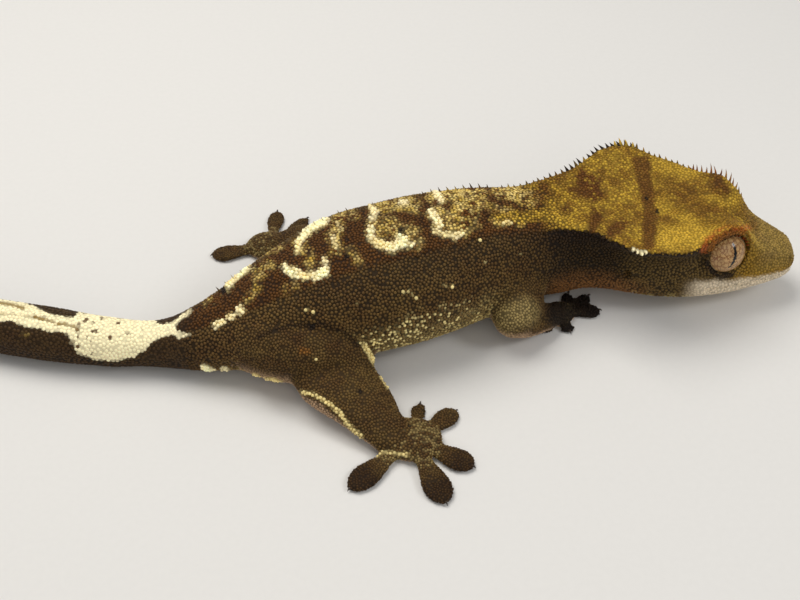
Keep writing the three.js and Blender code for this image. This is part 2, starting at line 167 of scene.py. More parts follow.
class Plan:
    """Turns the floor plan's millimetres into the model's metres and back."""

    def __init__(self) -> None:
        """Find the plan's place from the near eye, which has a known place on both."""
        low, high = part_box("eye_right")
        centre = [(low[i] + high[i]) / 2 / MM for i in range(3)]
        eye = Head.eye_centre(-1)
        self.shift = np.array([eye[0] - centre[0], eye[1] - centre[1], 0.0])

    def metres(self, points: np.ndarray) -> np.ndarray:
        """Plan millimetres to model metres."""
        return (np.asarray(points) - self.shift) * MM

    def millimetres(self, points: np.ndarray) -> np.ndarray:
        """Model metres to plan millimetres."""
        return np.asarray(points) / MM + self.shift


# ---------------------------------------------------------------- the body's form


def head_section(behind: float, top: float, rim: tuple, side: tuple, wide: tuple, low: tuple,
                 bottom: float) -> list[float]:
    """One cross-section of the head, so many millimetres behind the snout."""
    turn = 0.008 * max(behind - 30, 0) ** 2
    x = SNOUT[0] - behind * math.cos(HEAD_YAW)
    y = SNOUT[1] - behind * math.sin(HEAD_YAW) - turn
    return [x, y, top, *rim, *side, *wide, *low, bottom]


def body_section(x: float, y: float, half: float, top: float, bottom: float,
                 share: float) -> list[float]:
    """One rounder cross-section of the body or tail."""
    mid, rise = (top + bottom) / 2, (top - bottom) / 2
    return [x, y, top, share * half, mid + 0.87 * rise, 0.84 * half, mid + 0.56 * rise, half,
            mid - 0.05 * rise, 0.76 * half, mid - 0.68 * rise, bottom]


class Trunk:
    """The run of cross-sections from the snout to the tail's tip."""

    stations = np.array([
        head_section(0.12, 9.2, (0.8, 9.1), (1.3, 8.6), (1.6, 7.8), (1.1, 6.7), 6.4),
        head_section(0.8, 10.3, (2.0, 10.0), (2.9, 9.3), (3.3, 7.7), (2.4, 5.9), 5.5),
        head_section(2.4, 11.3, (2.9, 11.0), (4.2, 9.9), (4.8, 7.6), (3.6, 5.2), 4.7),
        head_section(5.2, 12.4, (3.7, 12.2), (5.3, 10.6), (6.2, 7.5), (4.8, 4.7), 4.0),
        head_section(8.4, 13.9, (5.0, 13.9), (6.0, 11.6), (7.3, 7.4), (5.8, 4.3), 3.5),
        head_section(11.2, 16.0, (5.7, 18.0), (6.2, 12.8), (8.1, 7.3), (6.7, 4.0), 3.2),
        head_section(14.6, 17.8, (7.5, 20.3), (6.9, 13.4), (9.0, 7.4), (7.5, 3.9), 2.9),
        head_section(18.4, 18.1, (9.9, 19.2), (8.2, 13.8), (10.1, 7.8), (8.3, 3.9), 2.7),
        head_section(22.4, 17.6, (12.7, 18.7), (10.0, 14.4), (10.8, 8.4), (8.8, 3.9), 2.5),
        head_section(27.0, 18.1, (13.9, 19.5), (10.6, 15.0), (10.9, 8.8), (8.8, 3.9), 2.4),
        head_section(31.6, 18.7, (15.3, 20.4), (10.5, 15.6), (10.3, 9.2), (8.2, 3.9), 2.4),
        head_section(35.6, 19.0, (13.6, 20.6), (9.6, 15.8), (9.4, 9.8), (7.4, 3.9), 2.4),
        head_section(40.2, 19.3, (9.6, 20.1), (8.4, 15.8), (8.9, 10.2), (6.9, 3.7), 2.0),
        head_section(45.4, 19.7, (7.1, 19.6), (8.2, 15.8), (9.2, 10.4), (7.1, 3.2), 1.3),
        body_section(22.5, 11.9, 10.2, 20.9, 0.8, 0.62),
        body_section(13.5, 9.0, 12.2, 22.8, 0.1, 0.54),
        body_section(2.5, 4.6, 13.8, 23.6, 0.0, 0.5),
        body_section(-9.5, 0.2, 13.5, 23.2, 0.0, 0.5),
        body_section(-19.0, -3.2, 11.2, 20.4, 0.2, 0.5),
        body_section(-27.0, -5.8, 8.6, 16.6, 0.3, 0.5),
        body_section(-34.5, -7.4, 6.1, 12.6, 0.3, 0.5),
        body_section(-43.0, -7.9, 4.1, 9.5, 0.5, 0.5),
        body_section(-52.0, -7.4, 4.3, 9.3, 0.3, 0.5),
        body_section(-62.5, -5.7, 4.8, 9.8, 0.0, 0.5),
        body_section(-74.0, -3.0, 4.8, 9.5, 0.0, 0.5),
        body_section(-86.0, 0.6, 4.0, 7.9, 0.0, 0.5),
        body_section(-97.0, 6.0, 3.0, 5.9, 0.0, 0.5),
        body_section(-105.5, 13.2, 2.3, 4.3, 0.0, 0.5),
        body_section(-110.0, 21.5, 2.0, 3.2, 0.0, 0.5),
        body_section(-110.6, 26.5, 1.3, 2.3, 0.0, 0.5),
        body_section(-110.4, 27.9, 0.5, 1.4, 0.4, 0.5),
    ])
    end = len(stations) - 1.0

    @classmethod
    def point(cls, t: np.ndarray, k: np.ndarray) -> np.ndarray:
        """Points of the surface.

        Args:
            t: Places along the trunk, in stations from the snout.
            k: Places round it, in key points from the top by the left; 1 and 9 are the rims.

        Returns:
            Points on the plan.
        """
        t, k = np.broadcast_arrays(np.atleast_1d(np.asarray(t, float)), np.asarray(k, float))
        s = along(cls.stations, t)
        zero = np.zeros(len(t))
        half = [s[:, 3:5], s[:, 5:7], s[:, 7:9], s[:, 9:11]]
        other = [h * [-1, 1] for h in reversed(half)]
        top, bottom = np.stack([zero, s[:, 2]], 1), np.stack([zero, s[:, 11]], 1)
        keys = np.stack([top, *half, bottom, *other], 1)
        i = np.floor(k).astype(int)
        f = (k - i)[:, None]
        before, a, b, after = (keys[np.arange(len(t)), (i + n) % 10] for n in (-1, 0, 1, 2))
        bend = 2 * before - 5 * a + 4 * b - after
        w = a + 0.5 * f * (b - before + f * (bend + f * (3 * (a - b) + after - before)))
        across = cls.across(t)
        return np.column_stack([s[:, :2] + across * w[:, :1], w[:, 1]])

    @classmethod
    def across(cls, t: np.ndarray) -> np.ndarray:
        """Direction towards the animal's left at places along the trunk."""
        ahead = along(cls.stations, np.maximum(t - 0.05, 0))[:, :2]
        behind = along(cls.stations, np.minimum(t + 0.05, cls.end))[:, :2]
        run = ahead - behind
        return unit(np.stack([-run[:, 1], run[:, 0]], 1))

    @classmethod
    def normal(cls, t: float, k: float) -> np.ndarray:
        """Direction straight out of the surface at one place."""
        p = cls.point(np.array([t - 0.08, t + 0.08, t, t]), np.array([k, k, k + 0.08, k - 0.08]))
        return unit(np.cross(p[0] - p[1], p[2] - p[3]))

    @classmethod
    def refine(cls, points: np.ndarray, t: np.ndarray, k: np.ndarray) -> tuple:
        """Slide rough places along and round the trunk to lie under the given points."""
        here = cls.point(t, k)
        along_t = (cls.point(np.minimum(t + 0.02, cls.end), k) - cls.point(t - 0.02, k)) / 0.04
        round_k = (cls.point(t, k + 0.02) - cls.point(t, k - 0.02)) / 0.04
        gap = points - here
        aa, bb = (along_t**2).sum(1), (round_k**2).sum(1)
        ab = (along_t * round_k).sum(1)
        ga, gb = (gap * along_t).sum(1), (gap * round_k).sum(1)
        det = np.maximum(aa * bb - ab * ab, 1e-6)
        dt = np.clip((ga * bb - gb * ab) / det, -0.12, 0.12)
        dk = np.clip((gb * aa - ga * ab) / det, -0.12, 0.12)
        return np.clip(t + dt, 0, cls.end), (k + dk) % 10


class Head:
    """Places of the head's openings."""

    eye_radius = 4.25
    eye_opening = math.radians(66)

    @staticmethod
    def from_snout(x: float, y: float, z: float) -> np.ndarray:
        """A place counted from the snout's tip and turned with the head."""
        c, s = math.cos(HEAD_YAW), math.sin(HEAD_YAW)
        return np.array([SNOUT[0] + x * c - y * s, SNOUT[1] + x * s + y * c, z])

    @classmethod
    def eye_centre(cls, side: int) -> np.ndarray:
        """Middle of the eyeball on one side, -1 for the right."""
        return cls.from_snout(-14.85, side * 5.3, 13.1)

    @classmethod
    def look(cls, side: int) -> np.ndarray:
        """Direction in which an eye looks."""
        forward, up = 0.36, 0.24
        x, y = math.sin(forward) * math.cos(up), side * math.cos(forward) * math.cos(up)
        c, s = math.cos(HEAD_YAW), math.sin(HEAD_YAW)
        return np.array([x * c - y * s, x * s + y * c, math.sin(up)])

    @classmethod
    def mouth(cls, k: float = 3.2, corner: float = 6.6) -> np.ndarray:
        """The line between the jaws, from corner to corner round the snout."""
        t = np.array([corner, 5.4, 3.8, 2.4, 1.2, 0.3])
        ts = np.concatenate([t, t[::-1]])
        ks = np.concatenate([np.full(6, 10 - k), np.full(6, k)])
        rows = Trunk.point(ts, ks)
        return along(rows, np.linspace(0, 11, 180))


@dataclass
class Limb:
    """One leg as two tubes, a palm and five toes.

    Attributes:
        upper: Stations x, y, z, half width and half height of the upper tube.
        lower: The same for the lower tube.
        palm: x, y, half length, half width and height.
        toes: Tip x, tip y and half width of each pad.
    """

    upper: list
    lower: list
    palm: tuple
    toes: list

    profile = [(0.0, 0.66, 0.6), (0.3, 0.54, 0.46), (0.54, 0.88, 0.36), (0.75, 1.04, 0.32),
               (0.91, 0.78, 0.28), (1.0, 0.24, 0.2)]

    @staticmethod
    def tube(stations: np.ndarray, count: int, sides: int, domed: bool = True) -> np.ndarray:
        """Rings of points round a tube.

        Args:
            stations: Rows of x, y, z, half width and half height.
            count: Rings along the tube.
            sides: Points in each ring.
            domed: Whether the ends are rounded over.

        Returns:
            An array of rings by sides by three.
        """
        stations = np.asarray(stations, float)
        last = len(stations) - 1
        places = [(t, 1.0, 0.0) for t in np.linspace(0, last, count)]
        if domed:
            arcs = [(math.cos(a), math.sin(a)) for a in (0.4, 0.8, 1.15, 1.45)]
            places = [(0, c, -s) for c, s in reversed(arcs)] + places
            places += [(last, c, s) for c, s in arcs]
        t = np.array([p[0] for p in places])
        scale = np.array([p[1] for p in places])[:, None, None]
        shift = np.array([p[2] for p in places])[:, None]
        s = along(stations, t)
        fore = along(stations, np.minimum(t + 0.05, last))[:, :3]
        forward = unit(fore - along(stations, np.maximum(t - 0.05, 0))[:, :3])
        level = unit(np.cross([0, 0, 1], forward))
        up = np.cross(forward, level)
        centre = s[:, :3] + forward * shift * np.minimum(s[:, 3:4], s[:, 4:5])
        angle = np.linspace(0, 2 * np.pi, sides, endpoint=False)[None, :, None]
        wide = level[:, None] * np.cos(angle) * s[:, None, 3:4] * scale
        high = up[:, None] * np.sin(angle) * s[:, None, 4:5] * scale
        rings = centre[:, None] + wide + high
        rings[..., 2] = np.maximum(rings[..., 2], 0.0)
        return rings

    def toe(self, tip: tuple) -> np.ndarray:
        """Rings of one toe from within the palm to its tip."""
        x, y = self.palm[:2]
        away = unit(np.array([tip[0] - x, tip[1] - y]))
        start = np.array([x, y]) + away * 1.2
        rows = []
        for share, width, height in self.profile:
            place = start + (np.array(tip[:2]) - start) * share
            rows.append([*place, height * tip[2] * 0.94, width * tip[2], height * tip[2]])
        return self.tube(np.array(rows), 26, 16, domed=False)

    def palm_rings(self) -> np.ndarray:
        """Rings of the palm as a flattened ball."""
        x, y, long_, wide, height = self.palm
        rows = []
        for a in np.linspace(-1.45, 1.45, 18):
            angle = np.linspace(0, 2 * np.pi, 24, endpoint=False)
            ring = np.stack([np.full(24, x + long_ * math.sin(a)),
                             y + wide * math.cos(a) * np.cos(angle),
                             height * 0.55 + height * math.cos(a) * np.sin(angle)], 1)
            rows.append(ring)
        rings = np.array(rows)
        rings[..., 2] = np.maximum(rings[..., 2], 0.0)
        return rings

    def runs(self) -> list[tuple[Region, np.ndarray]]:
        """Every run of rings of the leg with its region."""
        found = [(Region.UPPER, self.tube(self.upper, 40, 32)),
                 (Region.LOWER, self.tube(self.lower, 40, 32)),
                 (Region.PALM, self.palm_rings())]
        return found + [(Region.TOE, self.toe(tip)) for tip in self.toes]


LEGS = {
    "hind_right": Limb(
        upper=[(-31, -5, 8.0, 5.0, 5.8), (-25, -9.4, 8.0, 6.2, 6.8), (-17.5, -11.4, 7.8, 6.2, 6.8),
               (-11.6, -12.0, 7.0, 5.4, 5.8), (-8.6, -12.2, 6.4, 4.2, 4.6)],
        lower=[(-17.0, -11.6, 5.4, 4.6, 4.2), (-11.8, -15.6, 4.8, 6.9, 3.9),
               (-6.2, -21.2, 3.7, 5.6, 3.2), (-2.9, -25.2, 2.7, 4.1, 2.5),
               (-1.4, -27.2, 2.2, 3.6, 2.1)],
        palm=(2.0, -26.7, 5.2, 4.6, 2.3),
        toes=[(3.6, -18.0, 1.5), (9.9, -19.8, 2.1), (12.4, -32.0, 2.4), (7.6, -39.4, 2.6),
              (-8.4, -36.6, 2.4)]),
    "hind_left": Limb(
        upper=[(-28, -4, 7.6, 5.2, 5.6), (-22, 3, 7.2, 6.0, 6.0), (-15.4, 9.0, 6.6, 5.4, 5.6),
               (-12.0, 12.6, 6.2, 4.6, 4.9), (-10.6, 14.2, 5.8, 3.8, 4.2)],
        lower=[(-12.0, 13.2, 5.0, 4.2, 3.8), (-14.6, 17.6, 4.4, 5.2, 3.5),
               (-18.6, 20.6, 3.4, 4.4, 2.9), (-22.0, 21.4, 2.6, 3.2, 2.4),
               (-23.6, 21.6, 2.2, 2.9, 2.0)],
        palm=(-25.8, 22.0, 4.8, 3.7, 2.1),
        toes=[(-18.0, 18.6, 1.4), (-14.8, 26.4, 2.0), (-18.8, 31.2, 1.6), (-25.2, 33.4, 1.9),
              (-37.2, 20.0, 2.2)]),
    "fore_right": Limb(
        upper=[(22.8, 9, 8.6, 4.2, 4.6), (22.2, 3.6, 8.0, 4.4, 4.8), (21.4, -0.6, 7.0, 4.6, 4.8),
               (20.8, -2.4, 6.4, 4.2, 4.4)],
        lower=[(22.4, -2.4, 4.6, 3.0, 3.0), (25.0, -0.6, 3.8, 3.1, 2.8),
               (27.8, 1.4, 2.7, 2.7, 2.2), (29.2, 2.3, 2.2, 2.6, 1.9)],
        palm=(29.8, 3.4, 3.0, 2.7, 1.9),
        toes=[(32.4, 9.8, 1.2), (36.2, 8.8, 1.5), (37.8, 4.8, 1.8), (31.6, -1.0, 1.5),
              (26.6, -1.0, 1.3)]),
    "fore_left": Limb(
        upper=[(23.4, 14, 8.6, 4.2, 4.6), (22.6, 19.6, 8.0, 4.4, 4.8),
               (21.4, 24.0, 6.8, 4.4, 4.6), (20.8, 26.0, 6.2, 4.0, 4.2)],
        lower=[(22.2, 26.6, 4.6, 3.0, 3.0), (25.2, 28.4, 3.8, 3.1, 2.8),
               (28.6, 30.2, 2.7, 2.7, 2.2), (30.2, 31.0, 2.2, 2.6, 1.9)],
        palm=(32.0, 31.6, 3.3, 3.0, 1.9),
        toes=[(36.0, 25.6, 1.3), (40.2, 29.6, 1.7), (40.0, 35.0, 1.9), (35.4, 39.2, 1.8),
              (27.6, 37.4, 1.5)]),
}


# ---------------------------------------------------------------- mesh helpers


def new_object(name: str, points: np.ndarray, faces: np.ndarray) -> bpy.types.Object:
    """Make an object from points in metres and faces of equal corner counts.

    Args:
        name: Object and mesh name.
        points: Rows of x, y, z.
        faces: Rows of point numbers.

    Returns:
        The linked object.
    """
    mesh = bpy.data.meshes.new(name)
    corners = faces.shape[1]
    mesh.vertices.add(len(points))
    mesh.vertices.foreach_set("co", np.asarray(points, np.float32).ravel())
    mesh.loops.add(faces.size)
    mesh.loops.foreach_set("vertex_index", faces.astype(np.int32).ravel())
    mesh.polygons.add(len(faces))
    mesh.polygons.foreach_set("loop_start", np.arange(0, faces.size, corners, dtype=np.int32))
    mesh.update(calc_edges=True)
    made = bpy.data.objects.new(name, mesh)
    bpy.context.scene.collection.objects.link(made)
    return made


def loft(rings: np.ndarray) -> tuple[np.ndarray, np.ndarray]:
    """Close a run of rings into a surface of triangles."""
    count, sides = rings.shape[:2]
    points = rings.reshape(-1, 3)
    ends = np.array([rings[0].mean(0), rings[-1].mean(0)])
    r, i = np.meshgrid(np.arange(count - 1), np.arange(sides), indexing="ij")
    a = (r * sides + i).ravel()
    b = (r * sides + (i + 1) % sides).ravel()
    c, d = a + sides, b + sides
    faces = [np.stack([a, b, d], 1), np.stack([a, d, c], 1)]
    i = np.arange(sides)
    j = (i + 1) % sides
    last = (count - 1) * sides
    first = np.full(sides, len(points))
    faces += [np.stack([first, j, i], 1), np.stack([first + 1, last + i, last + j], 1)]
    points, faces = np.vstack([points, ends]), np.vstack(faces)
    a, b, c = (points[faces[:, n]] for n in range(3))
    if (a * np.cross(b, c)).sum() < 0:
        faces = faces[:, ::-1]
    return points, faces


def select_only(made: bpy.types.Object) -> None:
    """Leave one object selected and active."""
    bpy.ops.object.select_all(action="DESELECT")
    made.select_set(True)
    bpy.context.view_layer.objects.active = made


def set_colour(mesh: bpy.types.Mesh, name: str, rows: np.ndarray) -> None:
    """Store a colour for each point."""
    rgba = np.column_stack([rows, np.ones(len(rows))]).astype(np.float32)
    layer = mesh.attributes.new(name, "FLOAT_COLOR", "POINT")
    layer.data.foreach_set("color", rgba.ravel())


def set_value(mesh: bpy.types.Mesh, name: str, rows: np.ndarray) -> None:
    """Store a number for each point."""
    layer = mesh.attributes.new(name, "FLOAT", "POINT")
    layer.data.foreach_set("value", np.asarray(rows, np.float32))


def set_map(mesh: bpy.types.Mesh, places: np.ndarray) -> None:
    """Give a mesh its unwrap from a place for each point."""
    corner = np.empty(len(mesh.loops), np.int32)
    mesh.loops.foreach_get("vertex_index", corner)
    layer = mesh.uv_layers.new(name="OFBake")
    layer.data.foreach_set("uv", places[corner].astype(np.float32).ravel())


def smooth_faces(mesh: bpy.types.Mesh) -> None:
    """Shade a mesh smooth."""
    mesh.polygons.foreach_set("use_smooth", np.ones(len(mesh.polygons), bool))


def points_of(mesh: bpy.types.Mesh) -> np.ndarray:
    """Read a mesh's points."""
    co = np.empty(len(mesh.vertices) * 3, np.float32)
    mesh.vertices.foreach_get("co", co)
    return co.reshape(-1, 3).astype(float)


def normals_of(mesh: bpy.types.Mesh) -> np.ndarray:
    """Read the normals at a mesh's points."""
    found = np.empty(len(mesh.vertices) * 3, np.float32)
    mesh.vertex_normals.foreach_get("vector", found)
    return found.reshape(-1, 3).astype(float)


# ---------------------------------------------------------------- where a point lies


@dataclass
class Where:
    """Where points lie on the body.

    Attributes:
        points: Places on the plan.
        region: Region number of each.
        leg: Number of the leg, or -1 on the trunk.
        t: Place along its run; stations on the trunk, 0 to 1 elsewhere.
        k: Place round its run; key points on the trunk, 0 to 1 elsewhere.
        run: Number of the run.
        ups: Direction straight out of the skin.
    """

    points: np.ndarray
    region: np.ndarray
    leg: np.ndarray
    t: np.ndarray
    k: np.ndarray
    run: np.ndarray
    ups: np.ndarray

    def part(self, mask: np.ndarray) -> "Where":
        """Only the points under a mask."""
        return Where(self.points[mask], self.region[mask], self.leg[mask], self.t[mask],
                     self.k[mask], self.run[mask], self.ups[mask])

    @property
    def trunk(self) -> np.ndarray:
        """True on the trunk."""
        return self.region == Region.TRUNK.value

    @property
    def aside(self) -> np.ndarray:
        """How far round from the top a trunk point lies, 0 to 5."""
        return np.minimum(self.k, 10 - self.k)

    def unwrap(self) -> np.ndarray:
        """Place of each point on the flat unwrap of the body."""
        u = 0.02 + 0.96 * self.t / Trunk.end
        v = 0.02 + 0.42 * self.k / 10
        cell = np.maximum(self.run - 1, 0)
        leg_u = 0.02 + 0.12 * (cell % 8) + 0.1 * self.t
        leg_v = 0.48 + 0.125 * (cell // 8) + 0.1 * self.k
        return np.where(self.trunk[:, None], np.stack([u, v], 1), np.stack([leg_u, leg_v], 1))


class Atlas:
    """Finds where any point near the skin lies on the body."""

    def __init__(self) -> None:
        """Lay out samples of every run."""
        t, k = np.meshgrid(np.arange(0, Trunk.end, 0.1), np.arange(0, 10, 0.2), indexing="ij")
        t, k = t.ravel(), k.ravel()
        rows = [np.column_stack([Trunk.point(t, k), t * 0, t * 0 - 1, t, k, t * 0])]
        run = 1
        for number, limb in enumerate(LEGS.values()):
            for region, rings in limb.runs():
                count, sides = rings.shape[:2]
                share, turn = np.meshgrid(np.linspace(0, 1, count), np.arange(sides) / sides,
                                          indexing="ij")
                flat = np.ones(count * sides)
                rows.append(np.column_stack([rings.reshape(-1, 3), flat * region.value,
                                             flat * number, share.ravel(), turn.ravel(),
                                             flat * run]))
                run += 1
        self.rows = np.vstack(rows)
        self.tree = KDTree(len(self.rows))
        for i, row in enumerate(self.rows):
            self.tree.insert(row[:3], i)
        self.tree.balance()

    def where(self, points: np.ndarray, ups: np.ndarray) -> Where:
        """Look up points given on the plan with their outward directions."""
        near = np.array([self.tree.find(p)[1] for p in points])
        rows = self.rows[near]
        t, k = rows[:, 5].copy(), rows[:, 6].copy()
        on = rows[:, 3] == 0
        for _ in range(2):
            t[on], k[on] = Trunk.refine(points[on], t[on], k[on])
        return Where(points, rows[:, 3].astype(int), rows[:, 4].astype(int), t, k,
                     rows[:, 7].astype(int), ups)


# ---------------------------------------------------------------- markings


class View:
    """The photograph's view of the animal, in its 800 by 600 frame."""

    eye = np.array([0.0, -154.149, 162.149])
    pitch = math.radians(45)
    focal = 1200.0

    @classmethod
    def places(cls, points: np.ndarray) -> np.ndarray:
        """Where points of the plan show in the frame."""
        c, s = math.cos(cls.pitch), math.sin(cls.pitch)
        away = points - cls.eye
        deep = away @ np.array([0, c, -s])
        across, up = away[:, 0], away @ np.array([0, s, c])
        return np.stack([400 + cls.focal * across / deep, 300 - cls.focal * up / deep], 1)

    @classmethod
    def seen(cls, points: np.ndarray, ups: np.ndarray) -> np.ndarray:
        """Share from 0 to 1 by which each point faces the view."""
        return step((unit(cls.eye - points) * ups).sum(1), -0.06, 0.1)


@dataclass(frozen=True)
class Stroke:
    """A marking drawn along a line in the photograph's frame.

    Attributes:
        half: Half its width in the frame's pixels.
        places: The line's places.
        strength: How strongly it covers.
        soft: Width of its edge.
    """

    half: float
    places: tuple[tuple[float, float], ...]
    strength: float = 1.0
    soft: float = 1.2

    def cover(self, shown: np.ndarray, ragged: np.ndarray) -> np.ndarray:
        """How much of each shown place the stroke covers."""
        line = np.array(self.places, float)
        reach = self.half + self.soft + 5
        near = ((shown > line.min(0) - reach) & (shown < line.max(0) + reach)).all(1)
        found = np.zeros(len(shown))
        if not near.any():
            return found
        gap = distance(shown[near], line)
        found[near] = self.strength * step(gap + ragged[near], self.half + self.soft,
                                           self.half - self.soft)
        return found


@dataclass(frozen=True)
class Patch:
    """A marking with an outline of its own in the photograph's frame."""

    places: tuple[tuple[float, float], ...]
    soft: float = 0.9

    def cover(self, shown: np.ndarray, ragged: np.ndarray) -> np.ndarray:
        """How much of each shown place the patch covers."""
        ring = np.array(self.places + self.places[:1], float)
        near = ((shown > ring.min(0) - 6) & (shown < ring.max(0) + 6)).all(1)
        found = np.zeros(len(shown))
        place = shown[near]
        inside = np.zeros(len(place), bool)
        for (ax, ay), (bx, by) in zip(ring[:-1], ring[1:]):
            crosses = (ay > place[:, 1]) != (by > place[:, 1])
            rise = np.where(by == ay, 1e-9, by - ay)
            inside ^= crosses & (place[:, 0] < (bx - ax) * (place[:, 1] - ay) / rise + ax)
        gap = distance(place, ring) * np.where(inside, -1, 1)
        found[near] = step(gap + ragged[near], self.soft, -self.soft)
        return found


def distance(places: np.ndarray, line: np.ndarray) -> np.ndarray:
    """Distance of each place from a line of places."""
    least = np.full(len(places), 1e9)
    ends = line[1:] if len(line) > 1 else line
    for a, b in zip(line, ends):
        run = b - a
        share = np.clip((places - a) @ run / max(run @ run, 1e-9), 0, 1)
        least = np.minimum(least, np.linalg.norm(places - a - share[:, None] * run, axis=1))
    return least


class Markings:
    """The animal's colours at any place on it, with some painted shade and shadow."""

    umber = linear(44, 27, 10)
    ground = linear(76, 50, 22)
    olive = linear(104, 82, 42)
    dun = linear(176, 156, 100)
    gold = linear(180, 146, 48)
    brass = linear(144, 110, 32)
    brown = linear(92, 56, 16)
    cream = linear(250, 236, 188)
    yellow = linear(228, 208, 142)
    ivory = linear(246, 234, 190)
    skin = linear(172, 142, 112)
    lip = linear(206, 190, 164)
    throat = linear(118, 80, 42)
    rust = linear(164, 84, 30)
    black = linear(22, 15, 10)

    creams = (
        Stroke(2.9, ((216, 326), (226, 320), (234, 317), (242, 312), (239, 309))),
        Stroke(2.6, ((228, 286), (238, 277), (247, 268), (250, 262))),
        Stroke(4.2, ((289, 271), (304, 276), (319, 275), (325, 272))),
        Stroke(3.0, ((286, 267), (291, 270))), Stroke(2.2, ((326, 267), (324, 260))),
        Stroke(2.8, ((297, 252), (299, 243), (306, 233), (314, 227), (326, 221))),
        Stroke(3.0, ((371, 229), (371, 238), (377, 244))),
        Stroke(4.2, ((378, 244), (392, 247), (404, 243))),
        Stroke(2.4, ((399, 237), (405, 240))), Stroke(1.8, ((411, 244), (412, 245))),
        Stroke(2.8, ((431, 211), (435, 218), (440, 226)), 0.9),
        Stroke(2.8, ((435, 232), (447, 235), (456, 236), (462, 233))),
        Stroke(2.6, ((434, 190), (438, 196), (441, 201)), 0.85),
        Stroke(2.4, ((380, 198), (392, 195), (404, 191))),
        Stroke(2.6, ((371, 206), (375, 213), (372, 219)), 0.8),
        Stroke(2.2, ((401, 203), (406, 203)), 0.8),
        Stroke(2.4, ((333, 238), (336, 247)), 0.6), Stroke(1.8, ((337, 223), (340, 229)), 0.5),
        Stroke(1.6, ((503, 224), (507, 221), (511, 224))),
        Stroke(2.0, ((448, 184), (460, 186)), 0.7),
        Stroke(2.2, ((204, 366), (214, 371))), Stroke(2.2, ((224, 369), (230, 373))),
    )
    saddle = Patch((
        (-80, 279), (-5, 295), (20, 301), (32, 305), (42, 311), (56, 315), (72, 318), (81, 311),
        (100, 312), (120, 314), (140, 315), (152, 318), (158, 323), (165, 324), (170, 323),
        (176, 318), (184, 313), (190, 309), (194, 311), (188, 316), (180, 320), (176, 326),
        (177, 330), (183, 333), (190, 332), (193, 334), (186, 338), (178, 339), (174, 335),
        (166, 336), (158, 338), (152, 343), (145, 350), (135, 356), (120, 360), (108, 361),
        (95, 359), (84, 355), (77, 352), (74, 345), (70, 343), (69, 336), (62, 332), (45, 330),
        (20, 325), (10, 320), (-5, 322), (-80, 309)))
    # Painted shade in the crease along the top of the near thigh.
    folds = (
        Stroke(1.8, ((258, 338), (272, 331), (290, 326), (320, 324), (345, 332), (358, 345)), 0.8, 2.6),
    )
    seams = (
        Stroke(1.5, ((79, 330), (72, 326), (60, 324), (45, 320), (36, 317)), 0.9),
        Stroke(1.1, ((36, 317), (20, 316), (0, 313)), 0.45),
        Stroke(1.6, ((-70, 291), (-20, 300), (0, 303), (12, 305), (24, 308)), 0.85),
    )
    tail_specks = (
        (86, 320, 2.4), (93, 322, 1.6), (102, 319, 1.6), (96, 331, 2.4), (92, 332, 1.6),
        (118, 323, 1.7), (87, 337, 1.8), (91, 342, 1.5), (110, 338, 2.3), (128, 334, 1.8),
        (121, 337, 1.2), (118, 318, 1.3), (142, 329, 1.0), (92, 354, 1.6), (79, 325, 1.8),
        (78, 331, 1.8), (78, 337, 1.8), (72, 343, 2.2), (78, 346, 2.0), (85, 313, 1.0),
        (96, 314, 1.2), (44, 318, 1.4), (34, 316, 1.3),
    )
    golds = (
        Stroke(9, ((376, 228), (392, 226), (408, 232), (416, 240)), 0.8, 4),
        Stroke(10, ((436, 194), (458, 193), (476, 198)), 1.0, 4),
        Stroke(9, ((438, 214), (450, 226), (462, 212), (464, 228)), 1.0, 4),
        Stroke(5, ((473, 214), (478, 226)), 0.75, 3), Stroke(5.5, ((496, 222), (520, 223)), 1, 3),
        Stroke(8, ((376, 206), (396, 202), (414, 206)), 0.8, 4),
        Stroke(6.5, ((298, 246), (304, 250), (310, 260)), 0.85, 3.5),
        Stroke(6, ((338, 219), (334, 236), (336, 250)), 0.95, 3.5),
        Stroke(4.5, ((350, 252), (360, 262)), 0.6, 3), Stroke(4.5, ((345, 213), (354, 214)), 0.6, 3),
        Stroke(4.5, ((248, 299), (256, 289)), 0.75, 3), Stroke(5, ((256, 277), (270, 264)), 0.8, 3),
        Stroke(3.6, ((262, 254), (272, 251), (281, 247)), 0.85, 2.4),
        Stroke(3.6, ((206, 305), (210, 300)), 0.8, 2.4), Stroke(4, ((286, 290), (296, 286)), 0.4, 4),
        Stroke(2.5, ((22, 335), (27, 334)), 0.8, 2), Stroke(9, ((500, 190), (516, 192), (530, 200)), 0.95, 4),
        Stroke(5, ((492, 207), (508, 211)), 0.6, 3), Stroke(4, ((268, 239), (276, 236)), 0.4, 3),
    )
    clouds = (
        Stroke(8, ((582, 174), (592, 184), (598, 196)), 0.9, 5), Stroke(6, ((574, 191), (586, 194)), 0.8, 4),
        Stroke(5, ((597, 212), (592, 230)), 0.8, 4), Stroke(5, ((612, 232), (622, 224)), 0.8, 4),
        Stroke(5, ((560, 214), (567, 208)), 0.7, 4), Stroke(6, ((543, 189), (538, 206)), 0.75, 4),
        Stroke(3, ((528, 193), (534, 194)), 0.9, 2), Stroke(5, ((562, 182), (566, 172)), 0.5, 4),
        Stroke(8, ((664, 184), (688, 186), (712, 184)), 0.6, 6), Stroke(6, ((716, 174), (724, 190)), 0.75, 5),
        Stroke(8, ((676, 198), (700, 210), (734, 216)), 0.6, 6), Stroke(6, ((742, 214), (752, 226)), 0.5, 5),
        Stroke(5, ((662, 222), (672, 218)), 0.5, 4), Stroke(5, ((636, 212), (630, 222)), 0.4, 4),
    )
    band = Patch((
        (633, 158), (648, 156), (652, 175), (654, 195), (657, 215), (655, 235), (652, 250),
        (642, 250), (643, 230), (643, 210), (640, 190), (635, 175)), 2.4)
